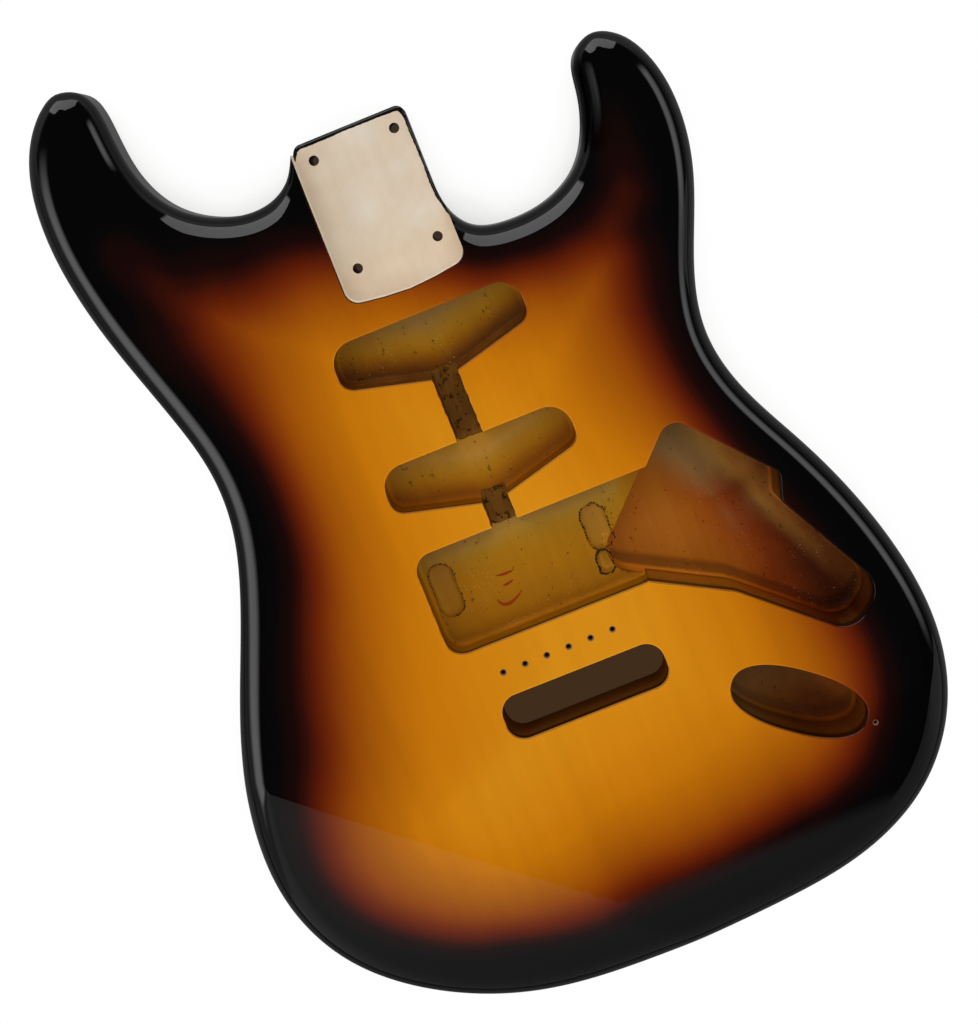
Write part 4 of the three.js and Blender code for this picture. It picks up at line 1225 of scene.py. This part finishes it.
def tail_light(n, x, y, z):
    """A dim wall past the tail, whose upper edge slopes to both sides, brighter in two directions"""
    degrees = 180 / math.pi
    polar = n.product(n.math("ARCCOSINE", z), degrees)
    from_treble = n.product(n.math("ARCTAN2", y, x), degrees)
    from_bass = n.product(n.math("ARCTAN2", n.product(y, -1.0), n.product(x, -1.0)), degrees)
    high = n.highest(z, 0.02)
    right = n.highest(n.total(n.math("DIVIDE", x, high), -0.1), 0.0)
    left = n.highest(n.total(n.math("DIVIDE", n.product(x, -1.0), high), -0.25), 0.0)
    edge = n.total(n.math("DIVIDE", y, high), n.product(right, 0.3), n.product(left, -0.5))
    tone = n.total(
        0.185, n.product(n.rise(polar, 20, 45), 0.03), n.product(n.rise(polar, 72, 92), -0.07),
        n.product(n.band(from_bass, 26, 31, 34, 64), 0.2),
        n.product(n.band(from_treble, -56, -36, -20, -12), 0.14))
    return n.product(n.inverse(n.rise(edge, -0.336, -0.327)), tone)


def world():
    """A plain studio, white for the camera: the neck's panel, the tail's wall, dim sides and ceiling"""
    studio = bpy.data.worlds.new("studio")
    bpy.context.scene.world = studio
    n = Nodes(studio)
    x, y, z = n.parts(n.add("ShaderNodeTexCoord").outputs["Generated"])
    polar = n.product(n.math("ARCCOSINE", z), 180 / math.pi)
    run = n.math("DIVIDE", y, n.highest(z, 0.02))
    sides = n.product(n.rise(polar, 74, 90), n.total(0.06, n.product(n.rise(y, 0.3, 0.6), 0.25)))
    ceiling = n.between(n.rise(run, -0.29, -0.282), 0, 1, 0.032, 0.045)
    strength = n.total(ceiling, sides, neck_light(n, x, y, z), tail_light(n, x, y, z))
    path = n.add("ShaderNodeLightPath").outputs
    low_gloss = n.product(path["Is Glossy Ray"], n.inverse(n.rise(z, 0.0, 0.008)))
    white = n.highest(path["Is Camera Ray"], path["Is Transmission Ray"], low_gloss)
    shown = n.total(n.product(strength, n.inverse(white)), white)
    background = n.add("ShaderNodeBackground", {"Color": (1, 1, 1, 1), "Strength": shown})
    n.add("ShaderNodeOutputWorld", {"Surface": background.outputs[0]})


world()

# The panels beside the body, from one height to another, and the rim that their fades are measured from
PANEL_HEIGHTS, RIM_REACH, RIM_HEIGHT = (0.05, 3.0), 0.13, 0.04


def softbox(name, x, run, ends, fades, strength):
    """A tall lit panel, soft at every edge; run is its extent along the body, ends are its fades there"""
    low, high = run
    bottom, top = PANEL_HEIGHTS
    corners = [(x, low, bottom), (x, high, bottom), (x, high, top), (x, low, top)]
    n = Nodes(bpy.data.materials.new(name))
    _, y, z = n.parts(n.position())
    polar = n.math("ARCTAN2", abs(x) - RIM_REACH, n.math("SUBTRACT", z, RIM_HEIGHT))
    polar = n.product(polar, 180 / math.pi)
    shape = n.product(n.band(polar, *fades), n.band(y, low, low + ends[0], high - ends[1], high))
    glow = n.add("ShaderNodeEmission", {"Strength": n.product(shape, strength)}).outputs[0]
    clear = n.add("ShaderNodeBsdfTransparent").outputs[0]
    material = n.output(n.add("ShaderNodeAddShader", {0: clear, 1: glow}).outputs[0])
    obj = mesh_object(name, corners, [(0, 1, 2, 3)], [material])
    obj.visible_camera = False
    obj.visible_shadow = False


softbox("bass_softbox", -1.13, (-0.62, 0.75), (0.14, 0.6), (24, 42, 53, 74), 2.05)
softbox("treble_softbox", 1.13, (-0.7, 0.46), (0.42, 0.16), (38, 49, 56, 76), 1.85)

FILL_RADIANCE, FILL_SIZE, FILL_PLACE = 1.4, 3.0, (0.0, -0.1, 2.4)


def overhead_fill():
    """The even light from above, which the gloss doesn't show"""
    data = bpy.data.lights.new("overhead_fill", "AREA")
    data.shape = "RECTANGLE"
    data.size = data.size_y = FILL_SIZE
    data.energy = FILL_RADIANCE * math.pi * FILL_SIZE ** 2
    obj = new_object("overhead_fill", data)
    obj.location = FILL_PLACE
    obj.visible_camera = False
    obj.visible_glossy = False


overhead_fill()

# The camera's lens, its turn about x, y and z in degrees, and its place in millimetres over the top face
LENS, SENSOR_WIDTH, CLIP_END = 79.62, 36.0, 50.0
CAMERA_ANGLES, CAMERA_PLACE = (8.44130, 0.41463, 21.9099), (43.156, 32.172, 991.76)


def set_camera():
    data = bpy.data.cameras.new("camera")
    data.lens, data.sensor_width, data.clip_end = LENS, SENSOR_WIDTH, CLIP_END
    camera = new_object("camera", data)
    rx, ry, rz = (Matrix.Rotation(math.radians(v), 3, axis) for v, axis in zip(CAMERA_ANGLES, "XYZ"))
    place = (Vector(CAMERA_PLACE) + Vector((0, 0, BODY_DEPTH))) * MM
    camera.matrix_world = Matrix.Translation(place) @ (rx @ ry @ rz).transposed().to_4x4()
    bpy.context.scene.camera = camera


set_camera()

bpy.context.scene.view_settings.view_transform = "Standard"
